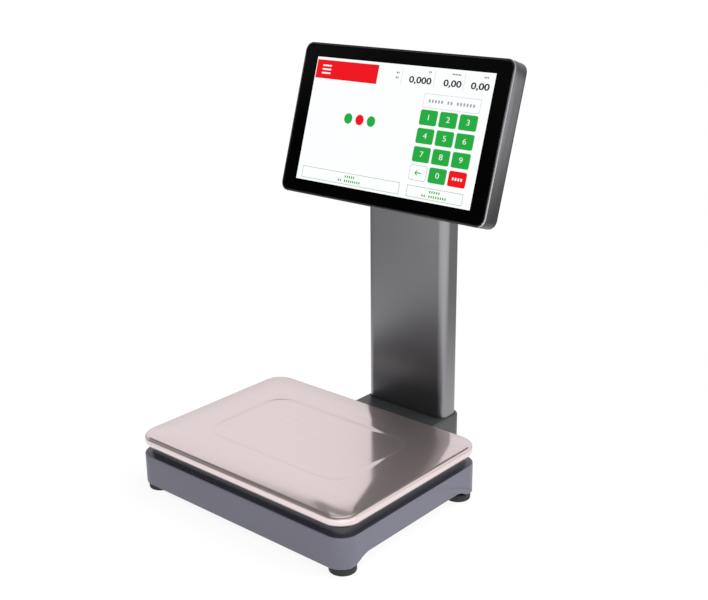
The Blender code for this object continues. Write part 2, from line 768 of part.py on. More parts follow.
def make_head(root):
    """Column head with hinge ears, pin, nuts and friction washers."""
    centre = (0.0, COLUMN_Y)
    shrink = 2 * (COLUMN_WALL + GAP)
    plug = rounded_rect(COLUMN_W - shrink, COLUMN_D - shrink, COLUMN_R - COLUMN_WALL - GAP)
    cap = rounded_rect(COLUMN_W, COLUMN_D, COLUMN_R)
    edge = rounded_rect(COLUMN_W - 2 * HEAD_EDGE, COLUMN_D - 2 * HEAD_EDGE, COLUMN_R - HEAD_EDGE)
    low = COLUMN_TOP + GAP
    top = low + HEAD_CAP
    rings = [
        ring(plug, COLUMN_TOP - HEAD_PLUG, "XY", centre),
        ring(plug, low, "XY", centre),
        ring(cap, low, "XY", centre),
        ring(cap, top - HEAD_EDGE, "XY", centre),
        ring(edge, top, "XY", centre),
    ]
    head = Solid().loft(rings).build("column_head", DARK, root, 0.3, 0.45)
    ears = Solid()
    bores = Solid()
    near = BARREL_HALF + WASHER_T + 2 * GAP
    arc = [math.radians(15 * i) for i in range(13)]
    ear = [(KNUCKLE_R * math.cos(a), HINGE_Z + KNUCKLE_R * math.sin(a)) for a in arc]
    ear += [(-KNUCKLE_R, top - HEAD_CAP / 2), (KNUCKLE_R, top - HEAD_CAP / 2)]
    for side in (1, -1):
        ears.prism(ear, side * near, side * (near + EAR_T), "YZ", (COLUMN_Y, 0.0))
    bores.rod(PIN_R + BORE_GAP, -near - 2 * EAR_T, near + 2 * EAR_T, "YZ", (COLUMN_Y, HINGE_Z))
    pocket = rounded_rect(COLUMN_W * 0.86, COLUMN_D * 0.5, HEAD_POCKET_R)
    spot = (0.0, COLUMN_Y - HEAD_POCKET_SHIFT)
    bores.prism(pocket, COLUMN_TOP - HEAD_PLUG - CUT_PAST, COLUMN_TOP - HEAD_ROOF, "XY", spot)
    face = COLUMN_Y + COLUMN_D / 2
    for place in head_places():
        bores.rod(M3_HOLE, COLUMN_Y + COLUMN_D * 0.24, face + CUT_PAST, "XZ", place, 12)
    combine(head, tool(ears, head, "ears"), "UNION")
    combine(head, tool(bores, head, "bores"))

    def screw(solid, place):
        solid.screw(face + GAP, COLUMN_Y + COLUMN_D * 0.26, place, "XZ", M3_WIDE)

    each("head_screw", head_places(), screw, ZINC, root, 1.0, 0.3)

    axis = (COLUMN_Y, HINGE_Z)
    far = near + EAR_T + GAP
    reach = far + NUT_T + PIN_PROUD
    Solid().rod(PIN_R, -reach, reach, "YZ", axis).build("hinge_pin", STEEL, root, 1.0, 0.3)
    hexagon = circle(NUT_R, 6)
    bore = circle((PIN_R + BORE_GAP) * 1.16, 6)

    def nut(solid, side):
        ends = (side * far, side * (far + NUT_T))
        rings = [ring(hexagon, ends[0], "YZ", axis), ring(hexagon, ends[1], "YZ", axis)]
        rings += [ring(bore, ends[1], "YZ", axis), ring(bore, ends[0], "YZ", axis)]
        solid.loft(rings, loop=True)

    def washer(solid, side):
        low = BARREL_HALF + GAP
        ends = (side * low, side * (low + WASHER_T))
        solid.tube(KNUCKLE_R - HEAD_EDGE, PIN_R + BORE_GAP, *ends, "YZ", axis)

    each("hinge_nut", (1, -1), nut, ZINC, root, 1.0, 0.3)
    each("hinge_washer", (1, -1), washer, FIBRE, root, 0.2, 0.6)


def vesa_places():
    """Mounting screw pattern on the terminal back, as (x, z)."""
    return [(sx * VESA / 2, sz * VESA / 2) for sx, sz in CORNERS]


def make_terminal_bracket(axis):
    """Moving half of the hinge: plate, arm and barrel, with the mounting screws."""
    low = BACK + GAP
    high = low + VESA_T
    plate = rounded_rect(VESA_PLATE, VESA_PLATE, VESA_R)
    bracket = Solid().prism(plate, low, high, "XZ").build("terminal_bracket", DARK, axis, 0.3, 0.45)
    root = low + VESA_T / 2
    arm = [(root, -ARM_H / 2), (0.0, -ARM_H / 2), (0.0, ARM_H / 2), (root, ARM_H / 2)]
    combine(bracket, tool(Solid().prism(arm, -BARREL_HALF, BARREL_HALF, "YZ"), bracket, "arm"), "UNION")
    barrel = Solid().rod(KNUCKLE_R, -BARREL_HALF, BARREL_HALF, "YZ", steps=28)
    combine(bracket, tool(barrel, bracket, "barrel"), "UNION")
    cuts = Solid().rod(PIN_R + BORE_GAP, -2 * BARREL_HALF, 2 * BARREL_HALF, "YZ")
    for place in vesa_places():
        cuts.rod(M4_HOLE, low - CUT_PAST, high + CUT_PAST, "XZ", place, 12)
    combine(bracket, tool(cuts, bracket, "cuts"))

    def screw(solid, place):
        solid.screw(high + GAP, FRAME_BACK - STIFFENER_T - 2 * TIP_GAP, place, "XZ", M4)

    each("bracket_screw", vesa_places(), screw, ZINC, axis, 1.0, 0.3)
    stiff = Solid().prism(plate, FRAME_BACK - STIFFENER_T, FRAME_BACK, "XZ")
    stiff = stiff.build("vesa_stiffener", ZINC, axis, 1.0, 0.4)
    cuts = Solid()
    for place in vesa_places():
        cuts.rod(M4_HOLE, FRAME_BACK - 2 * CUT_PAST, FRAME_BACK + CUT_PAST, "XZ", place, 12)
    combine(stiff, tool(cuts, stiff, "cuts"))


def boss_places():
    """Cover screw bosses in the corners of the terminal frame, as (x, z)."""
    x = TERMINAL_W / 2 - FRAME_WALL - BOSS_INSET
    z = TERMINAL_H / 2 - FRAME_WALL - BOSS_INSET
    return [(sx * x, sz * z) for sx, sz in CORNERS]


def make_terminal_front(axis):
    """Frame ring with the glass ledge, the touch glass and the display panel."""

    def plan(inset, level):
        outline = rounded_rect(TERMINAL_W - 2 * inset, TERMINAL_H - 2 * inset, TERMINAL_R - inset)
        return ring(outline, level, "XZ")

    deep = FRAME_WALL + LEDGE_W
    rings = [
        plan(RIM_CHAMFER, FRONT),
        plan(0.0, FRONT + RIM_CHAMFER),
        plan(0.0, FRAME_BACK),
        plan(FRAME_WALL, FRAME_BACK),
        plan(FRAME_WALL, LEDGE_Y + LEDGE_T),
        plan(deep, LEDGE_Y + LEDGE_T),
        plan(deep, LEDGE_Y),
        plan(RIM, LEDGE_Y),
        plan(RIM, FRONT),
    ]
    frame = Solid().loft(rings, loop=True).build("terminal_frame", FRAME_GREY, axis, 0.9, 0.4)
    posts = Solid()
    bores = Solid()
    for place in boss_places():
        posts.rod(BOSS_R, LEDGE_Y + LEDGE_T / 2, FRAME_BACK, "XZ", place, 16)
        bores.rod(M3_HOLE, FRAME_BACK - BOSS_THREAD - 2 * TIP_GAP, FRAME_BACK + CUT_PAST, "XZ", place, 12)
    combine(frame, tool(posts, frame, "posts"), "UNION")
    combine(frame, tool(bores, frame, "bores"))

    inset = 2 * GAP
    outline = rounded_rect(OPEN_W - inset, OPEN_H - inset, TERMINAL_R - RIM - GAP)
    glass = Solid().prism(outline, GLASS_Y, GLASS_Y + GLASS_T, "XZ")
    glass.build("touch_glass", GLASS, axis, 0.0, 0.06)
    panel = Solid().box((LCD_W, LCD_T, LCD_H), (0.0, LEDGE_Y + LCD_T / 2, 0.0))
    panel.build("lcd_panel", DISPLAY, axis, 0.0, 0.3)


def port_list():
    """Sockets in the port block, as (x, socket width, socket height)."""
    pitch = PORT_W / len(SOCKETS)
    left = PORT_X - PORT_W / 2
    return [(left + (i + 0.5) * pitch, w, h) for i, (w, h) in enumerate(SOCKETS)]


def rect(width, height):
    """Four-point rectangle about the origin."""
    return [(sx * width / 2, sz * height / 2) for sx, sz in CORNERS]


def make_terminal_rear(axis):
    """Rear cover with vents and port windows, main board, ports, screws and power button."""

    def plan(inset, level):
        outline = rounded_rect(TERMINAL_W - 2 * inset, TERMINAL_H - 2 * inset, TERMINAL_R - inset)
        return ring(outline, level, "XZ")

    rings = [plan(0.0, COVER_Y), plan(0.0, BACK - COVER_CHAMFER), plan(COVER_CHAMFER, BACK)]
    cover = Solid().loft(rings).build("rear_cover", DARK, axis, 0.1, 0.5)
    cuts = Solid()
    low, high = COVER_Y - CUT_PAST, BACK + CUT_PAST
    for index in range(VENTS):
        centre = ((index - (VENTS - 1) / 2) * VENT_PITCH, TERMINAL_H / 2 - VENT_DROP)
        cuts.prism(rounded_rect(VENT_W, VENT_H, VENT_R, 2), low, high, "XZ", centre)
    for place in vesa_places():
        cuts.rod(M4_HOLE, low, high, "XZ", place, 12)
    for place in boss_places():
        cuts.rod(M3_HOLE, low, high, "XZ", place, 12)
    cuts.prism(rect(PORT_W + 2 * GAP, PORT_H + 2 * GAP), low, high, "XZ", (PORT_X, PORT_Z))
    cuts.rod(BUTTON_R + GAP, low, high, "XZ", (BUTTON_X, BUTTON_Z))
    combine(cover, tool(cuts, cover, "cuts"))

    def screw(solid, place):
        solid.screw(BACK + GAP, FRAME_BACK - BOSS_THREAD, place, "XZ", M3)

    each("cover_screw", boss_places(), screw, ZINC, axis, 1.0, 0.3)

    board_y = FRAME_BACK - BOARD_DEPTH
    board = Solid().box((BOARD_W, BOARD_T, BOARD_H), (0.0, board_y - BOARD_T / 2, -BOARD_DROP))
    board.build("main_board", BOARD, axis, 0.0, 0.5)
    legs = Solid()
    for sx, sz in CORNERS:
        spot = (sx * (BOARD_W / 2 - BOARD_MARGIN), -BOARD_DROP + sz * (BOARD_H / 2 - BOARD_MARGIN))
        legs.rod(STANDOFF_R, board_y + GAP, COVER_Y + COVER_T / 2, "XZ", spot, 12)
    combine(cover, tool(legs, cover, "standoffs"), "UNION")
    face = BACK - GAP
    block = Solid().prism(rect(PORT_W, PORT_H), board_y + GAP, face, "XZ", (PORT_X, PORT_Z))
    block = block.build("port_block", PLASTIC, axis, 0.1, 0.5)
    cuts = Solid()
    for x, hole_w, hole_h in port_list():
        cuts.prism(rect(hole_w, hole_h), face - SOCKET_DEPTH, face + CUT_PAST, "XZ", (x, PORT_Z))
    combine(block, tool(cuts, block, "sockets"))

    flange = COVER_Y - GAP
    button = [
        (BUTTON_R + FLANGE_W, flange - FLANGE_T),
        (BUTTON_R + FLANGE_W, flange),
        (BUTTON_R, flange),
        (BUTTON_R, BACK + BUTTON_OUT - BUTTON_EDGE),
        (BUTTON_R - BUTTON_EDGE, BACK + BUTTON_OUT),
    ]
    spot = (BUTTON_X, BUTTON_Z)
    Solid().turned(button, "XZ", spot).build("power_button", PLASTIC, axis, 0.0, 0.4)


def main():
    """Build the whole scale."""
    clear_scene()
    root = empty("scale_root", (0.0, ROOT_SHIFT, 0.0))
    make_housing(root)
    make_feet(root)
    make_chassis(root)
    make_load_cell(root)
    make_spider(root)
    make_instruments(root)
    make_platter(root)
    make_pedestal(root)
    make_mast(root)
    make_head(root)
    tilt = empty("tilt_axis", (0.0, COLUMN_Y, HINGE_Z), root, math.radians(-TILT_DEG))
    make_terminal_bracket(tilt)
    make_terminal_front(tilt)
    make_terminal_rear(tilt)


main()
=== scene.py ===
"""Looks of the retail price scale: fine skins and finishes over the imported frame."""
import json
import logging
import math
from collections.abc import Callable, Iterable, Iterator, Sequence
from contextlib import contextmanager
from dataclasses import dataclass, field
from enum import Enum
from typing import Any, NamedTuple

import bmesh
import bpy
from mathutils import Matrix, Vector

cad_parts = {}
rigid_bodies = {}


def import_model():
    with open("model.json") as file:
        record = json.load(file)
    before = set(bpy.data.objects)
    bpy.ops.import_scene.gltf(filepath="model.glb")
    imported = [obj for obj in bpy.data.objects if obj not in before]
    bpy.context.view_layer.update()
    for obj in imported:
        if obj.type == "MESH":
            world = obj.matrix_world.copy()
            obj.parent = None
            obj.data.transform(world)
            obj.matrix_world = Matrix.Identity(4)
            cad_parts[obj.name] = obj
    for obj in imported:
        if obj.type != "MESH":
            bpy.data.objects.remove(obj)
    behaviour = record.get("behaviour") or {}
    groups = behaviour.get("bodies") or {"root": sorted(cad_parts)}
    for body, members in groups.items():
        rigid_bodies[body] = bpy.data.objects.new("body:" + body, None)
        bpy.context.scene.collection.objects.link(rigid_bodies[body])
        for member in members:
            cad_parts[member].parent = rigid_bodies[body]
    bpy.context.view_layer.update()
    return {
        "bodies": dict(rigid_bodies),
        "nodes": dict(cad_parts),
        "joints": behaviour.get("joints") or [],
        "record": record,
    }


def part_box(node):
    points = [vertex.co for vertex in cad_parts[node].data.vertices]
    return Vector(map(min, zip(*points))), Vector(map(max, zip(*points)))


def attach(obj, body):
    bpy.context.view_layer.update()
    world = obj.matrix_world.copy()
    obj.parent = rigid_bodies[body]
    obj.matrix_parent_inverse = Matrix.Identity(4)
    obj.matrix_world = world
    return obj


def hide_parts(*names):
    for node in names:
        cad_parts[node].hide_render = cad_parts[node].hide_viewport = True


LOG = logging.getLogger("price_scale")
IMAGE_WIDTH = 708
TINY = 1e-5
STRAIGHT = 0.999  # cosine from which two directions count as one
MANY = 5  # corners that tell a whole face from the quads of a ring round it
FOUR = range(1, 5)  # numbers of the feet, and of the platter's bumpers
NOTCH_GAP = 0.002
MIDDLE = (0.0, 0.0, 0.0)
WHITE = (1.0, 1.0, 1.0, 1.0)
PALE = (0.90, 0.90, 0.90, 1.0)
UPRIGHT = Matrix.Rotation(math.radians(90), 4, "X")

Item = bpy.types.Object
Triple = tuple[float, float, float]
Pair = tuple[float, float]
Test = Callable[[Any], bool]


class Pick(Enum):
    """Which kind of mesh element an edit works on."""

    EDGE = "EDGE"
    FACE = "FACE"
    VERT = "VERT"


class Slot(Enum):
    """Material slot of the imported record."""

    PAINT = "paint"
    STEEL = "stainless"
    PLASTIC = "dark_plastic"
    ANODISED = "anodised"
    FRAME = "frame_alloy"
    ZINC = "zinc"
    RUBBER = "rubber"
    GLASS = "glass"
    DISPLAY = "display"
    BOARD = "board"
    ALLOY = "alloy"
    VIAL = "vial"


class Axis(Enum):
    """Index of a coordinate axis."""

    X = 0
    Y = 1
    Z = 2


class Layer(Enum):
    """Height of a screen element above the glass, in metres."""

    PAGE = 0.00004
    TILE = 0.00010
    MARK = 0.00016
    OVER = 0.00022


class Fade(NamedTuple):
    """Smooth change of a level: the span of values that it takes, and the level at each end."""

    span: Pair
    ends: Pair


def along(axis: Axis, where: Test = lambda point: True) -> Test:
    """Test for edges that run along an axis.

    Args:
        axis: Direction of the wanted edges.
        where: Further test on the edge's middle point.

    Returns:
        A test on edges.
    """

    def test(edge: bmesh.types.BMEdge) -> bool:
        """True for an edge along the axis."""
        first, last = (vert.co for vert in edge.verts)
        return abs((last - first).normalized()[axis.value]) > STRAIGHT and where((first + last) / 2)

    return test


def level(axis: Axis, value: float, corners: int = 0) -> Test:
    """Test for edges or faces that lie wholly at one level of an axis.

    Args:
        axis: Axis that the level is measured on.
        value: The level, in metres.
        corners: How many corners they have at least.

    Returns:
        A test on edges or faces.
    """

    def test(part: Any) -> bool:
        """True when every corner is on the level."""
        return len(part.verts) >= corners and all(abs(v.co[axis.value] - value) < TINY for v in part.verts)

    return test


class Bench:
    """Modelling by hand: a primitive is added, then shaped with edit-mode operators."""

    @staticmethod
    def clear() -> None:
        """Deselect everything."""
        bpy.ops.object.select_all(action="DESELECT")

    @staticmethod
    def hold(*items: Item) -> None:
        """Select these objects alone and make the first one active.

        Args:
            *items: The objects.
        """
        Bench.clear()
        for item in items:
            item.select_set(True)
        bpy.context.view_layer.objects.active = items[0]

    @staticmethod
    def discard(*items: Item) -> None:
        """Delete objects that are no longer needed."""
        for item in items:
            bpy.data.objects.remove(item, do_unlink=True)

    @staticmethod
    def settle(item: Item, place: Matrix | None = None) -> Item:
        """Move an object and put its place into its mesh.

        Args:
            item: The object.
            place: Where it goes, or nothing to keep its own place.

        Returns:
            The object, at the origin.
        """
        Bench.hold(item)
        if place is not None:
            item.matrix_world = place @ item.matrix_world
        bpy.ops.object.transform_apply(location=True, rotation=True, scale=True)
        return item

    @staticmethod
    def block(name: str, size: Sequence[float], centre: Sequence[float] = MIDDLE) -> Item:
        """Cube primitive at a size and place.

        Args:
            name: Object name.
            size: Width, depth and height.
            centre: Middle of the block.

        Returns:
            The block, at the origin.
        """
        Bench.clear()
        bpy.ops.mesh.primitive_cube_add(size=1.0, location=centre)
        item = bpy.context.object
        item.name = item.data.name = name
        item.scale = size
        return Bench.settle(item)

    @staticmethod
    def disc(name: str, radius: float, tall: float, centre: Sequence[float], sides: int = 64) -> Item:
        """Upright cylinder primitive.

        Args:
            name: Object name.
            radius: Its radius.
            tall: Its height.
            centre: Middle of the cylinder.
            sides: Number of sides.

        Returns:
            The cylinder, at the origin.
        """
        Bench.clear()
        bpy.ops.mesh.primitive_cylinder_add(vertices=sides, radius=radius, depth=tall, location=centre)
        item = bpy.context.object
        item.name = item.data.name = name
        return Bench.settle(item)

    @staticmethod
    def copy(item: Item, name: str, place: Matrix | None = None) -> Item:
        """Copy an object with its own mesh.

        Args:
            item: The pattern.
            name: Name of the copy.
            place: Where the copy goes from the pattern's place.

        Returns:
            The copy, at the origin.
        """
        Bench.hold(item)
        bpy.ops.object.duplicate(linked=False)
        twin = bpy.context.object
        twin.name = twin.data.name = name
        return Bench.settle(twin, place)

    @staticmethod
    @contextmanager
    def edit(item: Item, pick: Pick, test: Test) -> Iterator[None]:
        """Edit mode with the elements that pass a test selected.

        Args:
            item: The object.
            pick: Kind of element.
            test: Says which elements are selected.

        Returns:
            A context, which leaves edit mode at its end.
        """
        Bench.hold(item)
        bpy.ops.object.mode_set(mode="EDIT")
        bpy.ops.mesh.select_mode(type=pick.value)
        bpy.ops.mesh.select_all(action="DESELECT")
        mesh = bmesh.from_edit_mesh(item.data)
        parts = {Pick.EDGE: mesh.edges, Pick.FACE: mesh.faces, Pick.VERT: mesh.verts}[pick]
        for part in [part for part in parts if test(part)]:
            part.select_set(True)
        mesh.select_flush_mode()
        bmesh.update_edit_mesh(item.data)
        yield
        bpy.ops.object.mode_set(mode="OBJECT")

    @staticmethod
    def bevel(item: Item, test: Test, width: float, steps: int, pick: Pick = Pick.EDGE) -> None:
        """Round the edges, or the corners, that pass a test.

        Args:
            item: The object.
            test: Chooses the edges or corners.
            width: Width of the rounding.
            steps: Number of its facets.
            pick: Whether edges or corners are rounded.
        """
        affect = "VERTICES" if pick is Pick.VERT else "EDGES"
        with Bench.edit(item, pick, test):
            bpy.ops.mesh.bevel(offset=width, segments=steps, profile=0.5, affect=affect, clamp_overlap=False)

    @staticmethod
    def inset(item: Item, test: Test, steps: Iterable[Pair]) -> None:
        """Inset the chosen face again and again.

        Args:
            item: The object.
            test: Chooses the face.
            steps: Width of each inset and the lift that follows it.
        """
        with Bench.edit(item, Pick.FACE, test):
            for width, lift in steps:
                bpy.ops.mesh.inset(thickness=width, depth=0.0)
                if lift:
                    bpy.ops.transform.translate(value=(0, 0, lift))

    @staticmethod
    def extrude(item: Item, test: Test, move: Sequence[float]) -> None:
        """Draw the chosen face out along a move."""
        with Bench.edit(item, Pick.FACE, test):
            bpy.ops.mesh.extrude_region_move(TRANSFORM_OT_translate={"value": move})

    @staticmethod
    def terrace(
        item: Item, test: Test, flat: Pair, middle: Vector, steps: Iterable[Pair], pick: Pick = Pick.FACE
    ) -> None:
        """Draw a level face or open edge in ring by ring, keeping its round corners, and lift each ring.

        Args:
            item: The object.
            test: Chooses the face or the edges.
            flat: Width and depth that the first ring has.
            middle: Point that the rings are drawn in to.
            steps: Width of each ring and its lift.
            pick: Whether a face or edges are drawn in.
        """
        wide, deep = flat
        with Bench.edit(item, pick, test):
            for width, lift in steps:
                bpy.ops.mesh.extrude_region_move()
                pull = ((wide - 2 * width) / wide, (deep - 2 * width) / deep, 1.0)
                bpy.ops.transform.resize(value=pull, center_override=middle)
                bpy.ops.transform.translate(value=(0, 0, lift))
                wide, deep = wide - 2 * width, deep - 2 * width

    @staticmethod
    def remove(item: Item, test: Test) -> None:
        """Delete the faces that pass a test."""
        with Bench.edit(item, Pick.FACE, test):
            bpy.ops.mesh.delete(type="FACE")

    @staticmethod
    def tidy(item: Item) -> None:
        """Merge doubles and turn all faces outwards.

        Args:
            item: The object.
        """
        with Bench.edit(item, Pick.VERT, lambda vert: True):
            bpy.ops.mesh.remove_doubles(threshold=1e-6)
            bpy.ops.mesh.normals_make_consistent(inside=False)

    @staticmethod
    def modify(item: Item, kind: str, **settings: Any) -> None:
        """Add a modifier with its settings and apply it.

        Args:
            item: The object.
            kind: Modifier type.
            **settings: Values of its properties.
        """
        step = item.modifiers.new(kind.lower(), kind)
        for key, value in settings.items():
            setattr(step, key, value)
        Bench.hold(item)
        bpy.ops.object.modifier_apply(modifier=step.name)

    @staticmethod
    def thicken(item: Item, wall: float) -> None:
        """Give an open shell its wall, inwards."""
        Bench.modify(item, "SOLIDIFY", thickness=wall, offset=-1.0, use_even_offset=True)

    @staticmethod
    def soften(item: Item, width: float, steps: int = 2) -> None:
        """Round every sharp edge."""
        sharp = math.radians(50)
        Bench.modify(item, "BEVEL", width=width, segments=steps, limit_method="ANGLE", angle_limit=sharp)

    @staticmethod
    def carve(item: Item, *tools: Item) -> None:
        """Cut tools out of an object and delete them.

        Args:
            item: The object.
            *tools: What is cut out.
        """
        for tool in tools:
            Bench.modify(item, "BOOLEAN", operation="DIFFERENCE", solver="EXACT", object=tool)
        Bench.discard(*tools)

    @staticmethod
    def merge(items: Sequence[Item], name: str) -> Item:
        """Join objects into the first one.

        Args:
            items: The objects.
            name: Name of the result.

        Returns:
            The joined object.
        """
        Bench.hold(*items)
        if len(items) > 1:
            bpy.ops.object.join()
        items[0].name = items[0].data.name = name
        return items[0]

    @staticmethod
    def smooth(item: Item, degrees: float = 35.0) -> None:
        """Shade smooth except over sharp edges."""
        Bench.hold(item)
        bpy.ops.object.shade_smooth_by_angle(angle=math.radians(degrees))


def math_node(operation: str, flip: bool = False) -> Callable[["Wire", Any], "Wire"]:
    """Operator of a wire that adds a Math node.

    Args:
        operation: What the node works out.
        flip: Whether the other value comes first.

    Returns:
        A method for the class of wires.
    """

    def method(self: "Wire", other: Any) -> "Wire":
        """Math node on this value and another one."""
        first, second = (other, self) if flip else (self, other)
        return self.sheet.add("ShaderNodeMath", {"operation": operation}, {0: first, 1: second})

    return method


class Wire:
    """One value in a shader; arithmetic on it adds Math nodes."""

    def __init__(self, sheet: "Sheet", socket: bpy.types.NodeSocket | None) -> None:
        """Keep the sheet and the socket."""
        self.sheet = sheet
        self.socket = socket

    __add__ = __radd__ = math_node("ADD")
    __sub__ = math_node("SUBTRACT")
    __rsub__ = math_node("SUBTRACT", flip=True)
    __mul__ = __rmul__ = math_node("MULTIPLY")
    top = math_node("MAXIMUM")


class Sheet:
    """Node tree of one material or world."""

    def __init__(self, tree: bpy.types.NodeTree) -> None:
        """Start from an empty tree."""
        self.tree = tree
        tree.nodes.clear()

    def add(self, kind: str, settings: dict[str, Any], inputs: dict[Any, Any], output: int | str = 0) -> Wire:
        """Add a node.

        Args:
            kind: Node type.
            settings: Its properties.
            inputs: Values or wires of its sockets.
            output: Which output is wanted.

        Returns:
            That output.
        """
        node = self.tree.nodes.new(kind)
        for key, value in settings.items():
            setattr(node, key, value)
        for key, value in inputs.items():
            if isinstance(value, Wire):
                self.tree.links.new(value.socket, node.inputs[key])
            else:
                node.inputs[key].default_value = value
        return Wire(self, node.outputs[output] if node.outputs else None)

    def place(self, scale: Triple = (1.0, 1.0, 1.0), turn: float = 0.0) -> Wire:
        """Object coordinates, turned about X and then stretched.

        Args:
            scale: Stretch along each axis.
            turn: Angle of the turn.

        Returns:
            The coordinates.
        """
        source = self.add("ShaderNodeTexCoord", {}, {}, "Object")
        if turn:
            source = self.add("ShaderNodeMapping", {}, {"Vector": source, "Rotation": (turn, 0.0, 0.0)})
        return self.add("ShaderNodeMapping", {}, {"Vector": source, "Scale": scale})

    def part(self, vector: Wire, name: str) -> Wire:
        """One coordinate of a vector."""
        return self.add("ShaderNodeSeparateXYZ", {}, {"Vector": vector}, name)

    def ray(self, name: str) -> Wire:
        """What the light path says about a ray."""
        return self.add("ShaderNodeLightPath", {}, {}, name)

    def noise(self, scale: float, detail: float = 3.0, spot: Wire | None = None) -> Wire:
        """Noise on object coordinates, or on others."""
        inputs = {"Vector": spot or self.place(), "Scale": scale, "Detail": detail}
        return self.add("ShaderNodeTexNoise", {}, inputs)

    def fade(self, value: Wire, fade: Fade) -> Wire:
        """Smooth change of a level with a value."""
        inputs = dict(enumerate((value, *fade.span, *fade.ends)))
        return self.add("ShaderNodeMapRange", {"interpolation_type": "SMOOTHSTEP"}, inputs)

    def bump(self, height: Wire, distance: float) -> Wire:
        """Bump from a height."""
        return self.add("ShaderNodeBump", {}, {"Height": height, "Distance": distance, "Strength": 1.0})

    def principled(self, **inputs: Any) -> Wire:
        """Principled shader; underscores in names stand for spaces."""
        spaced = {key.replace("_", " "): value for key, value in inputs.items()}
        return self.add("ShaderNodeBsdfPrincipled", {}, spaced)

    def mix(self, factor: Wire, first: Wire, second: Wire) -> Wire:
        """Mix two shaders."""
        return self.add("ShaderNodeMixShader", {}, {0: factor, 1: first, 2: second})

    def show(self, shader: Wire, kind: str = "ShaderNodeOutputMaterial") -> None:
        """Put a shader on the output."""
        self.add(kind, {}, {"Surface": shader})


@dataclass(frozen=True)
class Finish:
    """A named finish; subclasses fill in the nodes."""

    name: str
    slot: Slot
    colour: Triple
    rough: float = 0.4

    def material(self) -> bpy.types.Material:
        """Make the material of this finish once.

        Returns:
            The material.
        """
        found = bpy.data.materials.get(self.name)
        if found is None:
            found = bpy.data.materials.new(self.name)
            found.use_nodes = True
            self.nodes(Sheet(found.node_tree))
        return found

    def tint(self, sheet: Sheet, mask: Wire, low: float, high: float) -> Wire:
        """The colour, made darker and lighter after a mask.

        Args:
            sheet: Node tree.
            mask: Where it is lighter.
            low: Darkest share of the colour.
            high: Lightest share of the colour.

        Returns:
            The mixed colour.
        """
        dark, light = ([min(1.0, tone * share) for tone in self.colour] for share in (low, high))
        inputs = {0: mask, 6: (*dark, 1.0), 7: (*light, 1.0)}
        return sheet.add("ShaderNodeMix", {"data_type": "RGBA"}, inputs, 2)

    def nodes(self, sheet: Sheet) -> None:
        """Plain surface with slight unevenness.

        Args:
            sheet: Node tree to fill.
        """
        mottle = sheet.noise(scale=30.0)
        colour = self.tint(sheet, mottle, low=0.93, high=1.07)
        sheet.show(sheet.principled(Base_Color=colour, Roughness=self.rough + 0.1 * (mottle - 0.5)))


@dataclass(frozen=True)
class Paint(Finish):
    """Sprayed satin paint with a fine orange peel."""

    peel: float = 0.00004

    def nodes(self, sheet: Sheet) -> None:
        """Cloudy colour, orange peel and uneven gloss.

        Args:
            sheet: Node tree to fill.
        """
        cloud = sheet.noise(scale=9.0, detail=4.0)
        peel = sheet.noise(scale=900.0, detail=2.0)
        sheet.show(sheet.principled(
            Base_Color=self.tint(sheet, cloud, low=0.95, high=1.05),
            Roughness=self.rough + 0.10 * (cloud - 0.5) + 0.06 * (peel - 0.5),
            Normal=sheet.bump(peel, self.peel),
        ))


@dataclass(frozen=True)
class Brushed(Finish):
    """Metal with fine parallel brush lines; each fade darkens it towards one end, which is painted shade."""

    stretch: Triple = (0.02, 1.0, 1.0)
    turn: float = 0.0
    depth: float = 0.000004
    contrast: float = 0.06
    haze: float = 0.12
    dull: float = 0.55
    fine: float = 2200.0
    line_share: float = 0.7
    # Painted shade: fades of height that darken the colour towards one end.
    ends: tuple[Fade, ...] = ()

    def nodes(self, sheet: Sheet) -> None:
        """Clear gloss mixed with the haze of the lines, which also show in colour and bump.

        Args:
            sheet: Node tree to fill.
        """
        line = sheet.noise(self.fine, detail=2.0, spot=sheet.place(self.stretch, self.turn))
        cloud = sheet.noise(scale=7.0)
        tone = self.line_share * line + (1.0 - self.line_share) * cloud
        # Painted shade: each fade of height darkens the colour towards one end.
        for fade in self.ends:
            tone = tone * sheet.fade(sheet.part(sheet.place(turn=self.turn), "Z"), fade)
        colour = self.tint(sheet, tone, 1.0 - self.contrast, 1.0 + self.contrast)
        metal = {"Base_Color": colour, "Metallic": 1.0}
        relief = {"Normal": sheet.bump(line, self.depth)} if self.depth else {}
        clear = sheet.principled(Roughness=self.rough + 0.06 * (cloud - 0.5), **metal, **relief)
        hazy = sheet.principled(Roughness=self.dull, **metal)
        sheet.show(sheet.mix(self.haze + 0.10 * (line - 0.5), clear, hazy))


@dataclass(frozen=True)
class Moulded(Finish):
    """Moulded plastic or rubber with a spark-eroded grain."""

    grain: float = 0.00005

    def nodes(self, sheet: Sheet) -> None:
        """Fine pebble grain in bump and gloss.

        Args:
            sheet: Node tree to fill.
        """
        pebble = sheet.noise(scale=1400.0)
        cloud = sheet.noise(scale=14.0)
        sheet.show(sheet.principled(
            Base_Color=self.tint(sheet, cloud, low=0.9, high=1.1),
            Roughness=self.rough + 0.12 * (pebble - 0.5),
            Normal=sheet.bump(pebble, self.grain),
        ))


@dataclass(frozen=True)
class Glassy(Finish):
    """Coated black-backed cover glass with a faint smear in its gloss."""

    coating: float = 0.06

    def nodes(self, sheet: Sheet) -> None:
        """Near-mirror gloss, a little uneven where hands touch it.

        Args:
            sheet: Node tree to fill.
        """
        smear = sheet.noise(scale=18.0, detail=4.0)
        sheet.show(sheet.principled(
            Base_Color=self.tint(sheet, smear, low=0.9, high=1.1),
            Roughness=self.rough + 0.03 * smear,
            IOR=1.5,
            Specular_IOR_Level=self.coating,
        ))


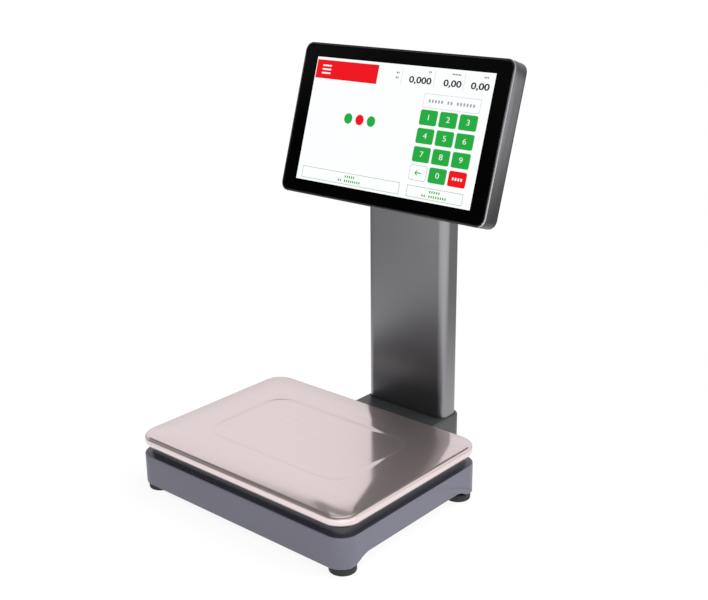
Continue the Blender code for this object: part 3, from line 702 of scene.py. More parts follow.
@dataclass(frozen=True)
class Lit(Finish):
    """Lit screen colour behind gloss."""

    glow: float = 0.97
    gloss: float = 0.15

    def nodes(self, sheet: Sheet) -> None:
        """Mostly emitted colour, with a very fine pixel grain.

        Args:
            sheet: Node tree to fill.
        """
        grain = sheet.noise(scale=3000.0, detail=1.0)
        sheet.show(sheet.principled(
            Base_Color=self.tint(sheet, grain, low=0.03, high=0.04),
            Roughness=self.rough,
            Emission_Color=self.tint(sheet, grain, low=0.985, high=1.0),
            Emission_Strength=self.glow,
            Specular_IOR_Level=self.gloss,
        ))


def ink(name: str, colour: Triple) -> Lit:
    """Lit colour of the display."""
    return Lit(name, Slot.DISPLAY, colour, rough=0.08)


BASE_PAINT = Paint("base_paint", Slot.PAINT, (0.106, 0.105, 0.138), rough=0.42)
# Painted shade: near-black copy of the base paint for the shoulder and deck, which lie in the platter's
# shade.
RECESS_PAINTED_SHADE = Paint("recess_painted_shade", Slot.PAINT, (0.026, 0.026, 0.034), rough=0.28)
PEDESTAL_PAINT = Paint("pedestal_paint", Slot.PLASTIC, (0.036, 0.038, 0.039), rough=0.40)
# Painted reflection: the pink tint of the steel's colour stands in for the pinkish backdrop that the platter
# reflects.
STAINLESS = Brushed(
    "stainless_platter", Slot.STEEL, (0.86, 0.740, 0.742), rough=0.10,
    stretch=(0.012, 1.0, 1.0), depth=0.0, contrast=0.02, haze=0.44,
)
COLUMN_SKIN = Brushed(
    "dark_anodised", Slot.ANODISED, (0.288, 0.286, 0.301), rough=0.34,
    stretch=(0.012, 0.012, 1.0), depth=0.0, contrast=0.10, haze=0.05,
)
HEAD_SKIN = Brushed(
    "dark_casting", Slot.ANODISED, (0.13, 0.13, 0.135), rough=0.42, stretch=(1.0, 0.05, 1.0), contrast=0.08
)
# Painted shade: the two fades darken the terminal's sides towards their lower and upper ends, and the high
# contrast also deepens that shade.
FRAME_ALLOY = Brushed(
    "brushed_alloy", Slot.FRAME, (0.31, 0.306, 0.325), rough=0.30,
    stretch=(1.0, 1.0, 0.03), turn=0.3037, depth=0.0, contrast=0.64, fine=700.0,
    ends=(Fade((0.320, 0.430), (0.0, 1.0)), Fade((0.500, 0.482), (0.0, 1.0))),
)
# Partly painted highlight: lighter polished alloy, put only on the side chamfers of the terminal.
FRAME_EDGE_HIGHLIGHT = Brushed(
    "polished_edge_painted_highlight", Slot.FRAME, (0.54, 0.535, 0.55), rough=0.26, contrast=0.04, depth=0.0, haze=0.30
)
ZINC = Brushed(
    "zinc_plate", Slot.ZINC, (0.58, 0.58, 0.60), rough=0.34, stretch=(1.0, 1.0, 1.0), contrast=0.05
)
ALLOY = Brushed("machined_alloy", Slot.ALLOY, (0.70, 0.70, 0.72), rough=0.36, stretch=(0.03, 1.0, 1.0))
COVER_PLASTIC = Moulded("cover_plastic", Slot.PLASTIC, (0.030, 0.030, 0.032), rough=0.52)
PAD_RUBBER = Moulded("pad_rubber", Slot.RUBBER, (0.018, 0.018, 0.019), rough=0.75, grain=0.00008)
BOARD_GREEN = Moulded("solder_mask", Slot.BOARD, (0.02, 0.16, 0.06), rough=0.40, grain=0.00002)
COVER_GLASS = Glassy("cover_glass", Slot.GLASS, (0.0008, 0.0008, 0.0009), rough=0.04)
VIAL_GREEN = Finish("vial_green", Slot.VIAL, (0.45, 0.70, 0.12), rough=0.08)
PAGE_WHITE = ink("page_white", (0.98, 0.99, 1.0))
KEY_GREEN = ink("key_green", (0.022, 0.41, 0.058))
LINE_GREEN = ink("line_green", (0.12, 0.42, 0.16))
KEY_RED = ink("key_red", (0.86, 0.010, 0.016))
INK_DARK = ink("ink_dark", (0.030, 0.030, 0.033))
INK_GREY = ink("ink_grey", (0.38, 0.385, 0.395))
INK_PALE = ink("ink_pale", (0.56, 0.57, 0.58))


def install(item: Item, body: str, finish: Finish, nodes: Sequence[str] = ()) -> None:
    """Finish a new piece, let it ride on a body and stand for CAD nodes.

    Args:
        item: The piece.
        body: Body that it moves with.
        finish: Its finish.
        nodes: CAD nodes that it replaces.
    """
    item.data.materials.clear()
    item.data.materials.append(finish.material())
    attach(item, body)
    if nodes:
        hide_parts(*nodes)
    LOG.info("%s rides on %s, %d faces", item.name, body, len(item.data.polygons))


def middle_of(name: str) -> Vector:
    """Middle of a CAD node's box."""
    low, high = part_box(name)
    return (low + high) / 2


def mast_notch(deep: float, y: float, foot: float) -> Item:
    """Cutter that lets the mast bracket through a wall.

    Args:
        deep: How deep it cuts along Y.
        y: Where the wall stands.
        foot: Lower edge of the wall.

    Returns:
        The cutter.
    """
    low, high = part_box("mast_bracket")
    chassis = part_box("chassis_plate")[0].z
    return Bench.block("notch", (high.x - low.x + NOTCH_GAP, deep, 2 * (chassis - foot)), (0.0, y, foot))


@dataclass
class Platter:
    """Pressed stainless tray."""

    corner: float = 0.024
    rim: float = 0.0042
    roll: float = 0.0075
    hem_drop: float = 0.0014
    crown: float = 0.030
    crown_drop: float = 0.0016
    panel: Pair = (0.200, 0.118)
    panel_corner: float = 0.020
    panel_drop: float = 0.0006
    slope: float = 0.008
    support: float = 0.002
    sheet: float = 0.0012
    arc: int = 24
    crown_steps: int = 10
    bend_steps: int = 8

    def build(self) -> None:
        """Model the tray and its panel, and put the sheet thickness in."""
        low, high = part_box("platter")
        size = high - low
        middle = (low + high) / 2
        edge = high.z - self.crown_drop
        hem = low.z - self.hem_drop + self.roll
        spot = (middle.x, middle.y, (edge + hem) / 2)
        tray = Bench.block("platter_tray", (size.x, size.y, edge - hem), spot)
        Bench.bevel(tray, along(Axis.Z), self.corner, self.arc)
        Bench.remove(tray, level(Axis.Z, hem))
        Bench.bevel(tray, level(Axis.Z, edge), self.rim, self.bend_steps)
        Bench.terrace(tray, level(Axis.Z, hem), (size.x, size.y), middle, self._hem_rings(), Pick.EDGE)
        flat = (size.x - 2 * self.rim, size.y - 2 * self.rim)
        Bench.terrace(tray, level(Axis.Z, edge), flat, middle, self._crown_rings())
        Bench.remove(tray, level(Axis.Z, high.z))
        whole = Bench.merge([tray, self._panel(middle, high.z)], "platter_tray")
        with Bench.edit(whole, Pick.EDGE, lambda e: e.is_boundary and level(Axis.Z, high.z)(e)):
            bpy.ops.mesh.bridge_edge_loops()
        Bench.tidy(whole)
        Bench.thicken(whole, self.sheet)
        Bench.smooth(whole, degrees=40.0)
        install(whole, "platter", STAINLESS, ["platter"])

    def _hem_rings(self) -> list[Pair]:
        """Rings that roll the lower edge of the skirt inwards.

        Returns:
            Width and lift of each ring.
        """
        turn = [math.pi / 2 * i / self.bend_steps for i in range(self.bend_steps + 1)]
        return [
            (self.roll * (math.cos(a) - math.cos(b)), self.roll * (math.sin(a) - math.sin(b)))
            for a, b in zip(turn, turn[1:])
        ]

    def _crown_rings(self) -> list[Pair]:
        """Rings that rise to the crown, and a flat one.

        Returns:
            Width and lift of each ring.
        """
        lift = [self.crown_drop * (1 - (1 - i / self.crown_steps) ** 2) for i in range(self.crown_steps + 1)]
        rings = [(self.crown / self.crown_steps, b - a) for a, b in zip(lift, lift[1:])]
        return [*rings, (self.support, 0.0)]

    def _panel(self, middle: Vector, top: float) -> Item:
        """Centre panel, pressed down with a soft slope.

        Args:
            middle: Centre of the platter.
            top: Level of the border.

        Returns:
            The panel, still loose from the tray.
        """
        grow = self.slope + self.support
        Bench.clear()
        bpy.ops.mesh.primitive_plane_add(size=1.0, location=(middle.x, middle.y, top))
        panel = bpy.context.object
        panel.scale = (self.panel[0] + 2 * grow, self.panel[1] + 2 * grow, 1.0)
        Bench.settle(panel)
        Bench.bevel(panel, lambda v: True, self.panel_corner + grow, self.arc, Pick.VERT)
        steps = self.bend_steps
        fall = [self.panel_drop * (1 - math.cos(math.pi * i / steps)) / 2 for i in range(steps + 1)]
        rings = [(self.slope / steps, a - b) for a, b in zip(fall, fall[1:])]
        Bench.inset(panel, lambda f: True, [(self.support, 0.0), *rings, (self.support, 0.0)])
        return panel


@dataclass
class WeighBase:
    """Painted base casting."""

    corner: float = 0.022
    shoulder: float = 0.008
    wall_top: float = 0.045
    wall_edge: float = 0.0012
    deck: float = 0.053
    wall: float = 0.0035
    soft_edge: float = 0.0007
    reach: float = 0.0105
    opening: Triple = (0.046, 0.044, 0.03)
    grip_length: float = 0.194
    grip_height: float = 0.0085
    grip_slant: float = 0.015
    grip_corner: float = 0.006
    scoop_radius: float = 0.212
    scoop_top: float = 0.0415
    scoop_sink: float = 0.00025
    scoop_lean: float = 3.6
    leg_radius: float = 0.010
    leg_bore: float = 0.0045
    leg_depth: float = 0.030
    leg_edge: float = 0.0004
    stop_radius: float = 0.004
    stop_shift: float = 0.0098
    stop_gap: float = 0.0005
    stop_edge: float = 0.0006

    def build(self) -> None:
        """Model the casting and cut its grips and openings; the shoulder and deck above the wall get a
        near-black paint that is painted shade under the platter.
        """
        low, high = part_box("base_housing")
        middle = (low + high) / 2
        size = high - low
        tall = self.wall_top - low.z
        shell = Bench.block("base_casting", (size.x, size.y, tall), (middle.x, middle.y, low.z + tall / 2))
        Bench.bevel(shell, along(Axis.Z), self.corner, steps=16)
        Bench.bevel(shell, level(Axis.Z, self.wall_top), self.wall_edge, steps=4)
        Bench.inset(shell, level(Axis.Z, self.wall_top), [(self.shoulder - self.wall_edge, 0.0)])
        Bench.extrude(shell, level(Axis.Z, self.wall_top, MANY), (0, 0, self.deck - self.wall_top))
        Bench.remove(shell, level(Axis.Z, low.z))
        Bench.thicken(shell, self.wall)
        spot = middle_of("cell_spacer_live")
        Bench.carve(
            shell,
            self._grip(low.x, middle.y, low.z),
            self._grip(high.x, middle.y, low.z),
            Bench.block("opening", self.opening, (spot.x, spot.y, self.deck)),
            mast_notch(self.reach, high.y, low.z),
        )
        Bench.soften(shell, self.soft_edge, steps=3)
        Bench.carve(shell, self._scoop(low.x, middle.y, -1), self._scoop(high.x, middle.y, 1))
        Bench.smooth(shell)
        install(shell, "base", BASE_PAINT, ["base_housing"])
        # Painted shade: faces above the top of the wall take the near-black recess paint in place of the
        # shade under the platter.
        shell.data.materials.append(RECESS_PAINTED_SHADE.material())
        for face in shell.data.polygons:
            foot = min(shell.data.vertices[v].co.z for v in face.vertices)
            face.material_index = int(foot > self.wall_top - TINY)
        self._legs(low.z)
        self._stops()

    def _grip(self, x: float, y: float, foot: float) -> Item:
        """Cutter for the finger grip of a side wall, with slanted ends.

        Args:
            x: Outer face of the wall.
            y: Middle of the wall.
            foot: Lower edge of the wall.

        Returns:
            The cutter.
        """
        long, short = (self.grip_length + s * 2 * self.grip_slant for s in (1, -1))
        grip = Bench.block("grip", (self.reach, long, 2 * self.grip_height), (x, y, foot))
        with Bench.edit(grip, Pick.FACE, lambda f: f.normal.z > STRAIGHT):
            bpy.ops.transform.resize(value=(1.0, short / long, 1.0), center_override=(x, y, foot))
        Bench.bevel(grip, along(Axis.X, lambda p: p.z > foot), self.grip_corner, steps=8)
        return grip

    def _scoop(self, x: float, y: float, side: int) -> Item:
        """Cutter for the shallow hollow of a side wall: a wide arc that gets deeper towards its foot.

        Args:
            x: Outer face of the wall.
            y: Middle of the wall.
            side: 1 for the right wall, -1 for the left one.

        Returns:
            The cutter.
        """
        disc = Bench.disc("scoop", self.scoop_radius, self.reach, (0, 0, self.reach / 2), sides=256)
        spot = Matrix.Translation((x - side * self.scoop_sink, y, self.scoop_top))
        face = Matrix.Rotation(math.radians(90 - 90 * side), 4, "Z")
        lean = Matrix.Rotation(math.radians(self.scoop_lean), 4, "Y")
        hang = Matrix.Translation((0, 0, -self.scoop_radius)) @ Matrix.Rotation(math.radians(90), 4, "Y")
        return Bench.settle(disc, spot @ face @ lean @ hang)

    def _legs(self, foot: float) -> None:
        """Tapped bosses that the levelling screws run in.

        Args:
            foot: Lower edge of the wall.
        """
        spots = [middle_of(f"foot_pad_{index}") for index in FOUR]
        top = self.wall_top - self.wall / 2
        middle = (spots[0].x, spots[0].y, (top + foot) / 2)
        boss = Bench.disc("leg_boss", self.leg_radius, top - foot, middle, sides=40)
        Bench.inset(boss, level(Axis.Z, foot), [(self.leg_radius - self.leg_bore, 0.0)])
        Bench.extrude(boss, level(Axis.Z, foot, MANY), (0, 0, self.leg_depth))
        Bench.soften(boss, self.leg_edge)
        self._spread(boss, spots)

    def _stops(self) -> None:
        """Overload stops under the arms of the spider."""
        low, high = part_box("platter_spider")
        spots = [middle_of(f"platter_bumper_{index}") for index in FOUR]
        for spot in spots:
            spot.y += math.copysign(self.stop_shift, (low.y + high.y) / 2 - spot.y)
        top = low.z - self.stop_gap
        middle = (spots[0].x, spots[0].y, (top + self.deck) / 2)
        stop = Bench.disc("overload_stop", self.stop_radius, top - self.deck, middle, sides=32)
        Bench.bevel(stop, level(Axis.Z, top), self.stop_edge, steps=3)
        self._spread(stop, spots)

    @staticmethod
    def _spread(pattern: Item, spots: Sequence[Vector]) -> None:
        """Copy a pattern to every spot.

        Args:
            pattern: The piece, which stands at the first spot and is deleted.
            spots: Where the copies stand.
        """
        Bench.smooth(pattern)
        for index, spot in enumerate(spots, 1):
            move = Matrix.Translation((spot - spots[0]).to_2d().to_3d())
            install(Bench.copy(pattern, f"{pattern.name}_{index}", move), "base", BASE_PAINT)
        Bench.discard(pattern)


@dataclass
class Feet:
    """Rubber pads of the levelling feet."""

    neck: float = 0.0015
    foot_edge: float = 0.0011
    shelf: float = 0.0025
    groove: float = 0.0008
    groove_depth: float = 0.0006
    bore: float = 0.0043
    floor: float = 0.003

    def build(self) -> None:
        """Model one pad and copy it to each foot."""
        low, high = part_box("foot_pad_1")
        first = (low + high) / 2
        radius = (high.x - low.x) / 2
        pad = Bench.disc("pad", radius, high.z - low.z, first)
        Bench.bevel(pad, level(Axis.Z, low.z), self.foot_edge, steps=5)
        Bench.bevel(pad, level(Axis.Z, high.z), self.neck, steps=5)
        ring = radius - self.neck - self.shelf - 2 * self.groove - self.bore
        dip = [(self.groove, -self.groove_depth), (self.groove, self.groove_depth)]
        Bench.inset(pad, level(Axis.Z, high.z), [(self.shelf, 0.0), *dip, (ring, 0.0)])
        Bench.extrude(pad, level(Axis.Z, high.z, MANY), (0, 0, self.floor - high.z))
        Bench.smooth(pad)
        for name in (f"foot_pad_{index}" for index in FOUR):
            move = Matrix.Translation(middle_of(name) - first)
            install(Bench.copy(pad, f"rubber_{name}", move), name, PAD_RUBBER, [name])
        Bench.discard(pad)


@dataclass
class Mast:
    """Column and the pedestal that it stands in."""

    column_corner: float = 0.0105
    column_grow: float = 0.0021
    column_wall: float = 0.0025
    screw_bore: float = 0.0024
    bore_length: float = 0.010
    pedestal_corner: float = 0.014
    pedestal_front: float = 0.004
    pedestal_edge: float = 0.003
    pedestal_wall: float = 0.0025
    slot_gap: float = 0.0006
    slot_tall: float = 0.03
    notch_depth: float = 0.02
    soft_edge: float = 0.0005

    def build(self) -> None:
        """Model the column and the pedestal."""
        low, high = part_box("column")
        low = low - Vector((self.column_grow, self.column_grow, 0))
        high = high + Vector((self.column_grow, 0, 0))
        self._column(low, high)
        self._pedestal(low, high)

    def _column(self, low: Vector, high: Vector) -> None:
        """Extruded tube with round corners and screw holes in its back.

        Args:
            low: Lower corner of its box.
            high: Upper corner of its box.
        """
        column = Bench.block("column_tube", high - low, (low + high) / 2)
        Bench.bevel(column, along(Axis.Z), self.column_corner, steps=16)
        Bench.remove(column, lambda f: abs(f.normal.z) > STRAIGHT)
        Bench.thicken(column, self.column_wall)
        for name in ("column_screw_1", "column_screw_2", "head_screw_1", "head_screw_2"):
            spot = middle_of(name)
            hole = Bench.disc("hole", self.screw_bore, self.bore_length, MIDDLE, sides=24)
            Bench.carve(column, Bench.settle(hole, Matrix.Translation((spot.x, high.y, spot.z)) @ UPRIGHT))
        Bench.smooth(column)
        install(column, "base", COLUMN_SKIN, ["column"])

    def _pedestal(self, low: Vector, high: Vector) -> None:
        """Shell with a soft top edge and a slot for the column.

        Args:
            low: Lower corner of the column's box.
            high: Upper corner of the column's box.
        """
        first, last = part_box("column_pedestal")
        shell = Bench.block("pedestal_shell", last - first, (first + last) / 2)
        middle = (first.y + last.y) / 2
        Bench.bevel(shell, along(Axis.Z, lambda p: p.y > middle), self.pedestal_corner, steps=12)
        Bench.bevel(shell, along(Axis.Z, lambda p: p.y < first.y + TINY), self.pedestal_front, steps=6)
        Bench.bevel(shell, level(Axis.Z, last.z), self.pedestal_edge, steps=6)
        Bench.remove(shell, level(Axis.Z, first.z))
        Bench.thicken(shell, self.pedestal_wall)
        size = high - low
        grow = 2 * self.slot_gap
        spot = (low + high) / 2
        slot = Bench.block("slot", (size.x + grow, size.y + grow, self.slot_tall), (spot.x, spot.y, last.z))
        Bench.bevel(slot, along(Axis.Z), self.column_corner + self.slot_gap, steps=12)
        Bench.carve(shell, slot, mast_notch(self.notch_depth, first.y, first.z))
        Bench.soften(shell, self.soft_edge)
        Bench.smooth(shell)
        install(shell, "base", PEDESTAL_PAINT, ["column_pedestal"])


@dataclass
class Terminal:
    """Tilting touch terminal, modelled upright and then turned back on its hinge."""

    place: Matrix
    width: float = 0.304
    height: float = 0.183
    front: float = -0.049
    back: float = -0.027
    corner: float = 0.011
    chamfer: float = 0.0013
    chamfer_lean: Pair = (-0.98, -0.10)
    chamfer_side: float = 0.2
    rim: float = 0.0025
    ledge: float = 0.0055
    skin: float = 0.0010
    glass_gap: float = 0.0003
    glass_sink: float = 0.0005
    glass_thick: float = 0.0027
    glass_edge: float = 0.0004

    def build(self) -> None:
        """Model the frame and the glass."""
        self._frame()
        self._glass()

    def _frame(self) -> None:
        """Alloy frame; the chamfers left and right of the glass get a lighter polished alloy, partly real
        polish and partly painted highlight.
        """
        size = (self.width, self.back - self.front, self.height)
        frame = Bench.block("terminal_shell", size, (0, (self.back + self.front) / 2, 0))
        Bench.bevel(frame, along(Axis.Y), self.corner, steps=14)
        Bench.remove(frame, level(Axis.Y, self.back))
        Bench.bevel(frame, level(Axis.Y, self.front), self.chamfer, steps=3)
        Bench.inset(frame, level(Axis.Y, self.front), [(self.rim - self.chamfer, 0.0)])
        sink = self.glass_sink + self.glass_thick + self.glass_gap
        seat = level(Axis.Y, self.front + sink, MANY)
        Bench.extrude(frame, level(Axis.Y, self.front, MANY), (0, sink, 0))
        Bench.inset(frame, seat, [(self.ledge, 0.0)])
        Bench.remove(frame, seat)
        Bench.tidy(frame)
        normals = [face.normal.copy() for face in frame.data.polygons]
        Bench.thicken(frame, self.skin)
        Bench.settle(frame, self.place)
        Bench.smooth(frame, degrees=30.0)
        install(frame, "terminal", FRAME_ALLOY, ["terminal_frame"])
        frame.data.materials.append(FRAME_EDGE_HIGHLIGHT.material())
        # Partly painted highlight: only the forward-leaning chamfer faces at the left and right take the
        # lighter alloy.
        for face, normal in zip(frame.data.polygons, normals):
            leans = self.chamfer_lean[0] < normal.y < self.chamfer_lean[1]
            face.material_index = int(leans and abs(normal.x) > self.chamfer_side)

    def _glass(self) -> None:
        """Cover glass with a ground edge."""
        inset = self.rim + self.glass_gap
        near = self.front + self.glass_sink
        size = (self.width - 2 * inset, self.glass_thick, self.height - 2 * inset)
        glass = Bench.block("cover_glass_sheet", size, (0, near + self.glass_thick / 2, 0))
        Bench.bevel(glass, along(Axis.Y), self.corner - inset, steps=14)
        Bench.bevel(glass, level(Axis.Y, near), self.glass_edge, steps=3)
        Bench.settle(glass, self.place)
        Bench.smooth(glass, degrees=30.0)
        install(glass, "terminal", COVER_GLASS, ["touch_glass"])


class Box(NamedTuple):
    """Rectangle on the page: its middle and its size."""

    spot: Pair
    size: Pair


class Print(NamedTuple):
    """Line of small print: its middle, the number of blocks in each word and their pitch."""

    spot: Pair
    words: tuple[int, ...]
    pitch: float


class Type(NamedTuple):
    """How numerals are set: letter body, outward offset of the strokes and stretch along the line."""

    body: float
    bold: float
    wide: float


@dataclass
class Screen:
    """Lit page on the display, all generic; spots are measured from the middle of the page."""

    place: Matrix
    face: float = -0.0485
    film: float = 0.00005
    line: float = 0.0005
    block: Triple = (0.56, 0.86, 0.2)
    page: Box = Box((0.0, 0.0), (0.259, 0.149))
    title: Box = Box((-0.0805, 0.0602), (0.096, 0.0222))
    bar: Box = Box((-0.112, 0.0602), (0.014, 0.0018))
    bar_pitch: float = 0.0045
    bar_corner: float = 0.0008
    readouts: tuple[tuple[str, float], ...] = (("0,000", 0.030), ("0,00", 0.0748), ("0,00", 0.1119))
    readout_level: float = 0.0584
    readout_type: Type = Type(0.0102, 0.00026, 1.40)
    dividers: Triple = (0.003, 0.0495, 0.090)
    divider_level: float = 0.0615
    divider_height: float = 0.0195
    units: tuple[Print, ...] = (
        Print((0.0420, 0.0690), (2,), 0.0021),
        Print((0.0785, 0.0690), (6,), 0.0021),
        Print((0.1180, 0.0690), (3,), 0.0021),
        Print((-0.0034, 0.0649), (2,), 0.0024),
        Print((-0.0034, 0.0593), (2,), 0.0024),
    )
    key: Pair = (0.0240, 0.0173)
    key_corner: float = 0.0024
    first_key: Pair = (0.0513, 0.0184)
    key_pitch: Pair = (0.0271, 0.0208)
    key_type: Type = Type(0.0092, -0.00008, 1.25)
    confirm_pitch: float = 0.0038
    arrow_tip: Pair = (-0.0040, 0.0)
    arrow_ends: tuple[Pair, ...] = ((0.0042, 0.0), (-0.0012, 0.0026), (-0.0012, -0.0026))
    arrow_stroke: float = 0.0012
    arrow_corner: float = 0.00054
    number_field: Box = Box((0.0787, 0.0372), (0.0770, 0.0154))
    prompt: Print = Print((0.0787, 0.0372), (5, 2, 6), 0.0043)
    buttons: tuple[Box, ...] = (
        Box((-0.0460, -0.0648), (0.150, 0.0132)),
        Box((0.0790, -0.0652), (0.0770, 0.0125)),
    )
    label_rows: tuple[tuple[float, tuple[int, ...]], ...] = ((0.0026, (5,)), (-0.0026, (2, 8)))
    label_pitch: float = 0.0032
    dot: Box = Box((-0.0470, 0.0055), (0.0125, 0.0125))
    dot_pitch: float = 0.0175
    dot_corner: float = 0.0062
    stock: dict[tuple[float, ...], Item] = field(default_factory=dict)

    def build(self) -> None:
        """Lay out the page."""
        self._put([self._tile(self.page, 0.0, Layer.PAGE)], "page", PAGE_WHITE)
        self._header()
        self._keypad()
        self._fields()
        Bench.discard(*self.stock.values())

    def _put(self, items: Sequence[Item], name: str, finish: Finish) -> None:
        """Join pieces of one colour and let them ride on the terminal."""
        install(Bench.merge(items, f"screen_{name}"), "terminal", finish)

    def _stand(self, item: Item, spot: Sequence[float], layer: Layer) -> Item:
        """Stand a flat piece up on the glass at a spot of the page."""
        stand = Matrix.Translation((spot[0], self.face - layer.value, spot[1])) @ UPRIGHT
        return Bench.settle(item, self.place @ stand)

    def _tile(self, box: Box, corner: float = 0.0, layer: Layer = Layer.TILE) -> Item:
        """Flat rounded tile on the page.

        Args:
            box: Its middle and size.
            corner: Corner radius, 0 for square corners.
            layer: How far up it lies.

        Returns:
            The tile in place.
        """
        key = (*box.size, corner)
        if key not in self.stock:
            self.stock[key] = Bench.block("tile_pattern", (*box.size, self.film))
            Bench.bevel(self.stock[key], along(Axis.Z), corner or self.film, steps=6 if corner else 1)
        return self._stand(Bench.copy(self.stock[key], "tile"), box.spot, layer)

    def _outline(self, box: Box) -> list[Item]:
        """Four thin lines round a rectangle.

        Args:
            box: The rectangle.

        Returns:
            The lines in place.
        """
        (x, z), (wide, tall) = box
        row, post = (wide + self.line, self.line), (self.line, tall)
        rows = [self._tile(Box((x, z + s * tall / 2), row)) for s in (1, -1)]
        return rows + [self._tile(Box((x + s * wide / 2, z), post)) for s in (1, -1)]

    def _digits(self, text: str, spot: Pair, style: Type) -> Item:
        """Plain numerals as a thin mesh.

        Args:
            text: The numerals.
            spot: Their middle on the page.
            style: How they are set.

        Returns:
            The numerals in place.
        """
        Bench.clear()
        bpy.ops.object.text_add()
        letters = bpy.context.object.data
        letters.body = text
        letters.size = style.body
        letters.align_x = letters.align_y = "CENTER"
        letters.extrude = self.film / 2
        letters.offset = style.bold
        letters.resolution_u = 6
        bpy.ops.object.convert(target="MESH")
        item = Bench.settle(bpy.context.object, Matrix.Scale(style.wide, 4, (1, 0, 0)))
        return self._stand(item, spot, Layer.MARK)

    def _words(self, line: Print, layer: Layer = Layer.TILE) -> list[Item]:
        """Line of small print as blocks.

        Args:
            line: Its place, words and pitch.
            layer: How far up the blocks lie.

        Returns:
            The blocks in place.
        """
        row = " ".join("x" * count for count in line.words)
        left = line.spot[0] - (len(row) - 1) * line.pitch / 2
        wide, tall, corner = (share * line.pitch for share in self.block)
        spots = [(left + step * line.pitch, line.spot[1]) for step, mark in enumerate(row) if mark == "x"]
        return [self._tile(Box(spot, (wide, tall)), corner, layer) for spot in spots]

    def _header(self) -> None:
        """Red title block, three readouts and the lines between them."""
        self._put([self._tile(self.title)], "title", KEY_RED)
        (x, z), size = self.bar
        boxes = [Box((x, z + i * self.bar_pitch), size) for i in (-1, 0, 1)]
        self._put([self._tile(box, self.bar_corner, Layer.MARK) for box in boxes], "menu_bars", PAGE_WHITE)
        shown = [self._digits(text, (x, self.readout_level), self.readout_type) for text, x in self.readouts]
        self._put(shown, "readouts", INK_DARK)
        size = (self.line, self.divider_height)
        rules = [self._tile(Box((x, self.divider_level), size)) for x in self.dividers]
        self._put(rules, "dividers", INK_PALE)
        self._put([block for unit in self.units for block in self._words(unit)], "unit_marks", INK_DARK)

    def _keypad(self) -> None:
        """Twelve keys: numerals in green, a back arrow and a red confirm key."""
        (left, top), (across, down) = self.first_key, self.key_pitch
        spots = [(left + c * across, top - r * down) for r in range(4) for c in range(3)]
        *_, back, zero, confirm = spots
        digits = dict(zip("123456789", spots)) | {"0": zero}
        greens = [self._tile(Box(spot, self.key), self.key_corner) for spot in digits.values()]
        whites = [self._digits(text, spot, self.key_type) for text, spot in digits.items()]
        whites += self._words(Print(confirm, (4,), self.confirm_pitch), Layer.MARK)
        self._put(greens, "number_keys", KEY_GREEN)
        for name, spot, finish in (("confirm_key", confirm, KEY_RED), ("back_key_edge", back, INK_GREY)):
            self._put([self._tile(Box(spot, self.key), self.key_corner)], name, finish)
        inner = Box(back, (self.key[0] - 2 * self.line, self.key[1] - 2 * self.line))
        self._put([self._tile(inner, self.key_corner - self.line, Layer.MARK)], "back_key", PAGE_WHITE)
        self._put(whites, "numerals", PAGE_WHITE)
        self._put([self._stroke(back, end) for end in self.arrow_ends], "back_arrow", KEY_GREEN)

    def _stroke(self, spot: Pair, end: Pair) -> Item:
        """Stroke of the back arrow, from its tip.

        Args:
            spot: Middle of the arrow on the page.
            end: Where the stroke ends, from that middle.

        Returns:
            The stroke in place.
        """
        first, last = (Vector(spot) + Vector(way) for way in (self.arrow_tip, end))
        run = last - first
        size = (run.length + self.arrow_stroke, self.arrow_stroke, self.film)
        tile = Bench.block("stroke", size)
        Bench.bevel(tile, along(Axis.Z), self.arrow_corner, steps=4)
        Bench.settle(tile, Matrix.Rotation(math.atan2(run.y, run.x), 4, "Z"))
        return self._stand(tile, (first + last) / 2, Layer.OVER)

    def _fields(self) -> None:
        """Number field, two wide buttons and a row of progress dots."""
        self._put(self._outline(self.number_field), "number_field", INK_PALE)
        self._put(self._words(self.prompt), "field_prompt", INK_GREY)
        edges = [line for box in self.buttons for line in self._outline(box)]
        self._put(edges, "button_lines", LINE_GREEN)
        lines = [
            Print((spot[0], spot[1] + lift), words, self.label_pitch)
            for spot, _ in self.buttons for lift, words in self.label_rows
        ]
        self._put([block for line in lines for block in self._words(line)], "button_labels", KEY_GREEN)
        (x, z), size = self.dot
        dots = [self._tile(Box((x + i * self.dot_pitch, z), size), self.dot_corner) for i in (-1, 0, 1)]
        self._put([dots[0], dots[2]], "progress_green", KEY_GREEN)
        self._put([dots[1]], "progress_red", KEY_RED)


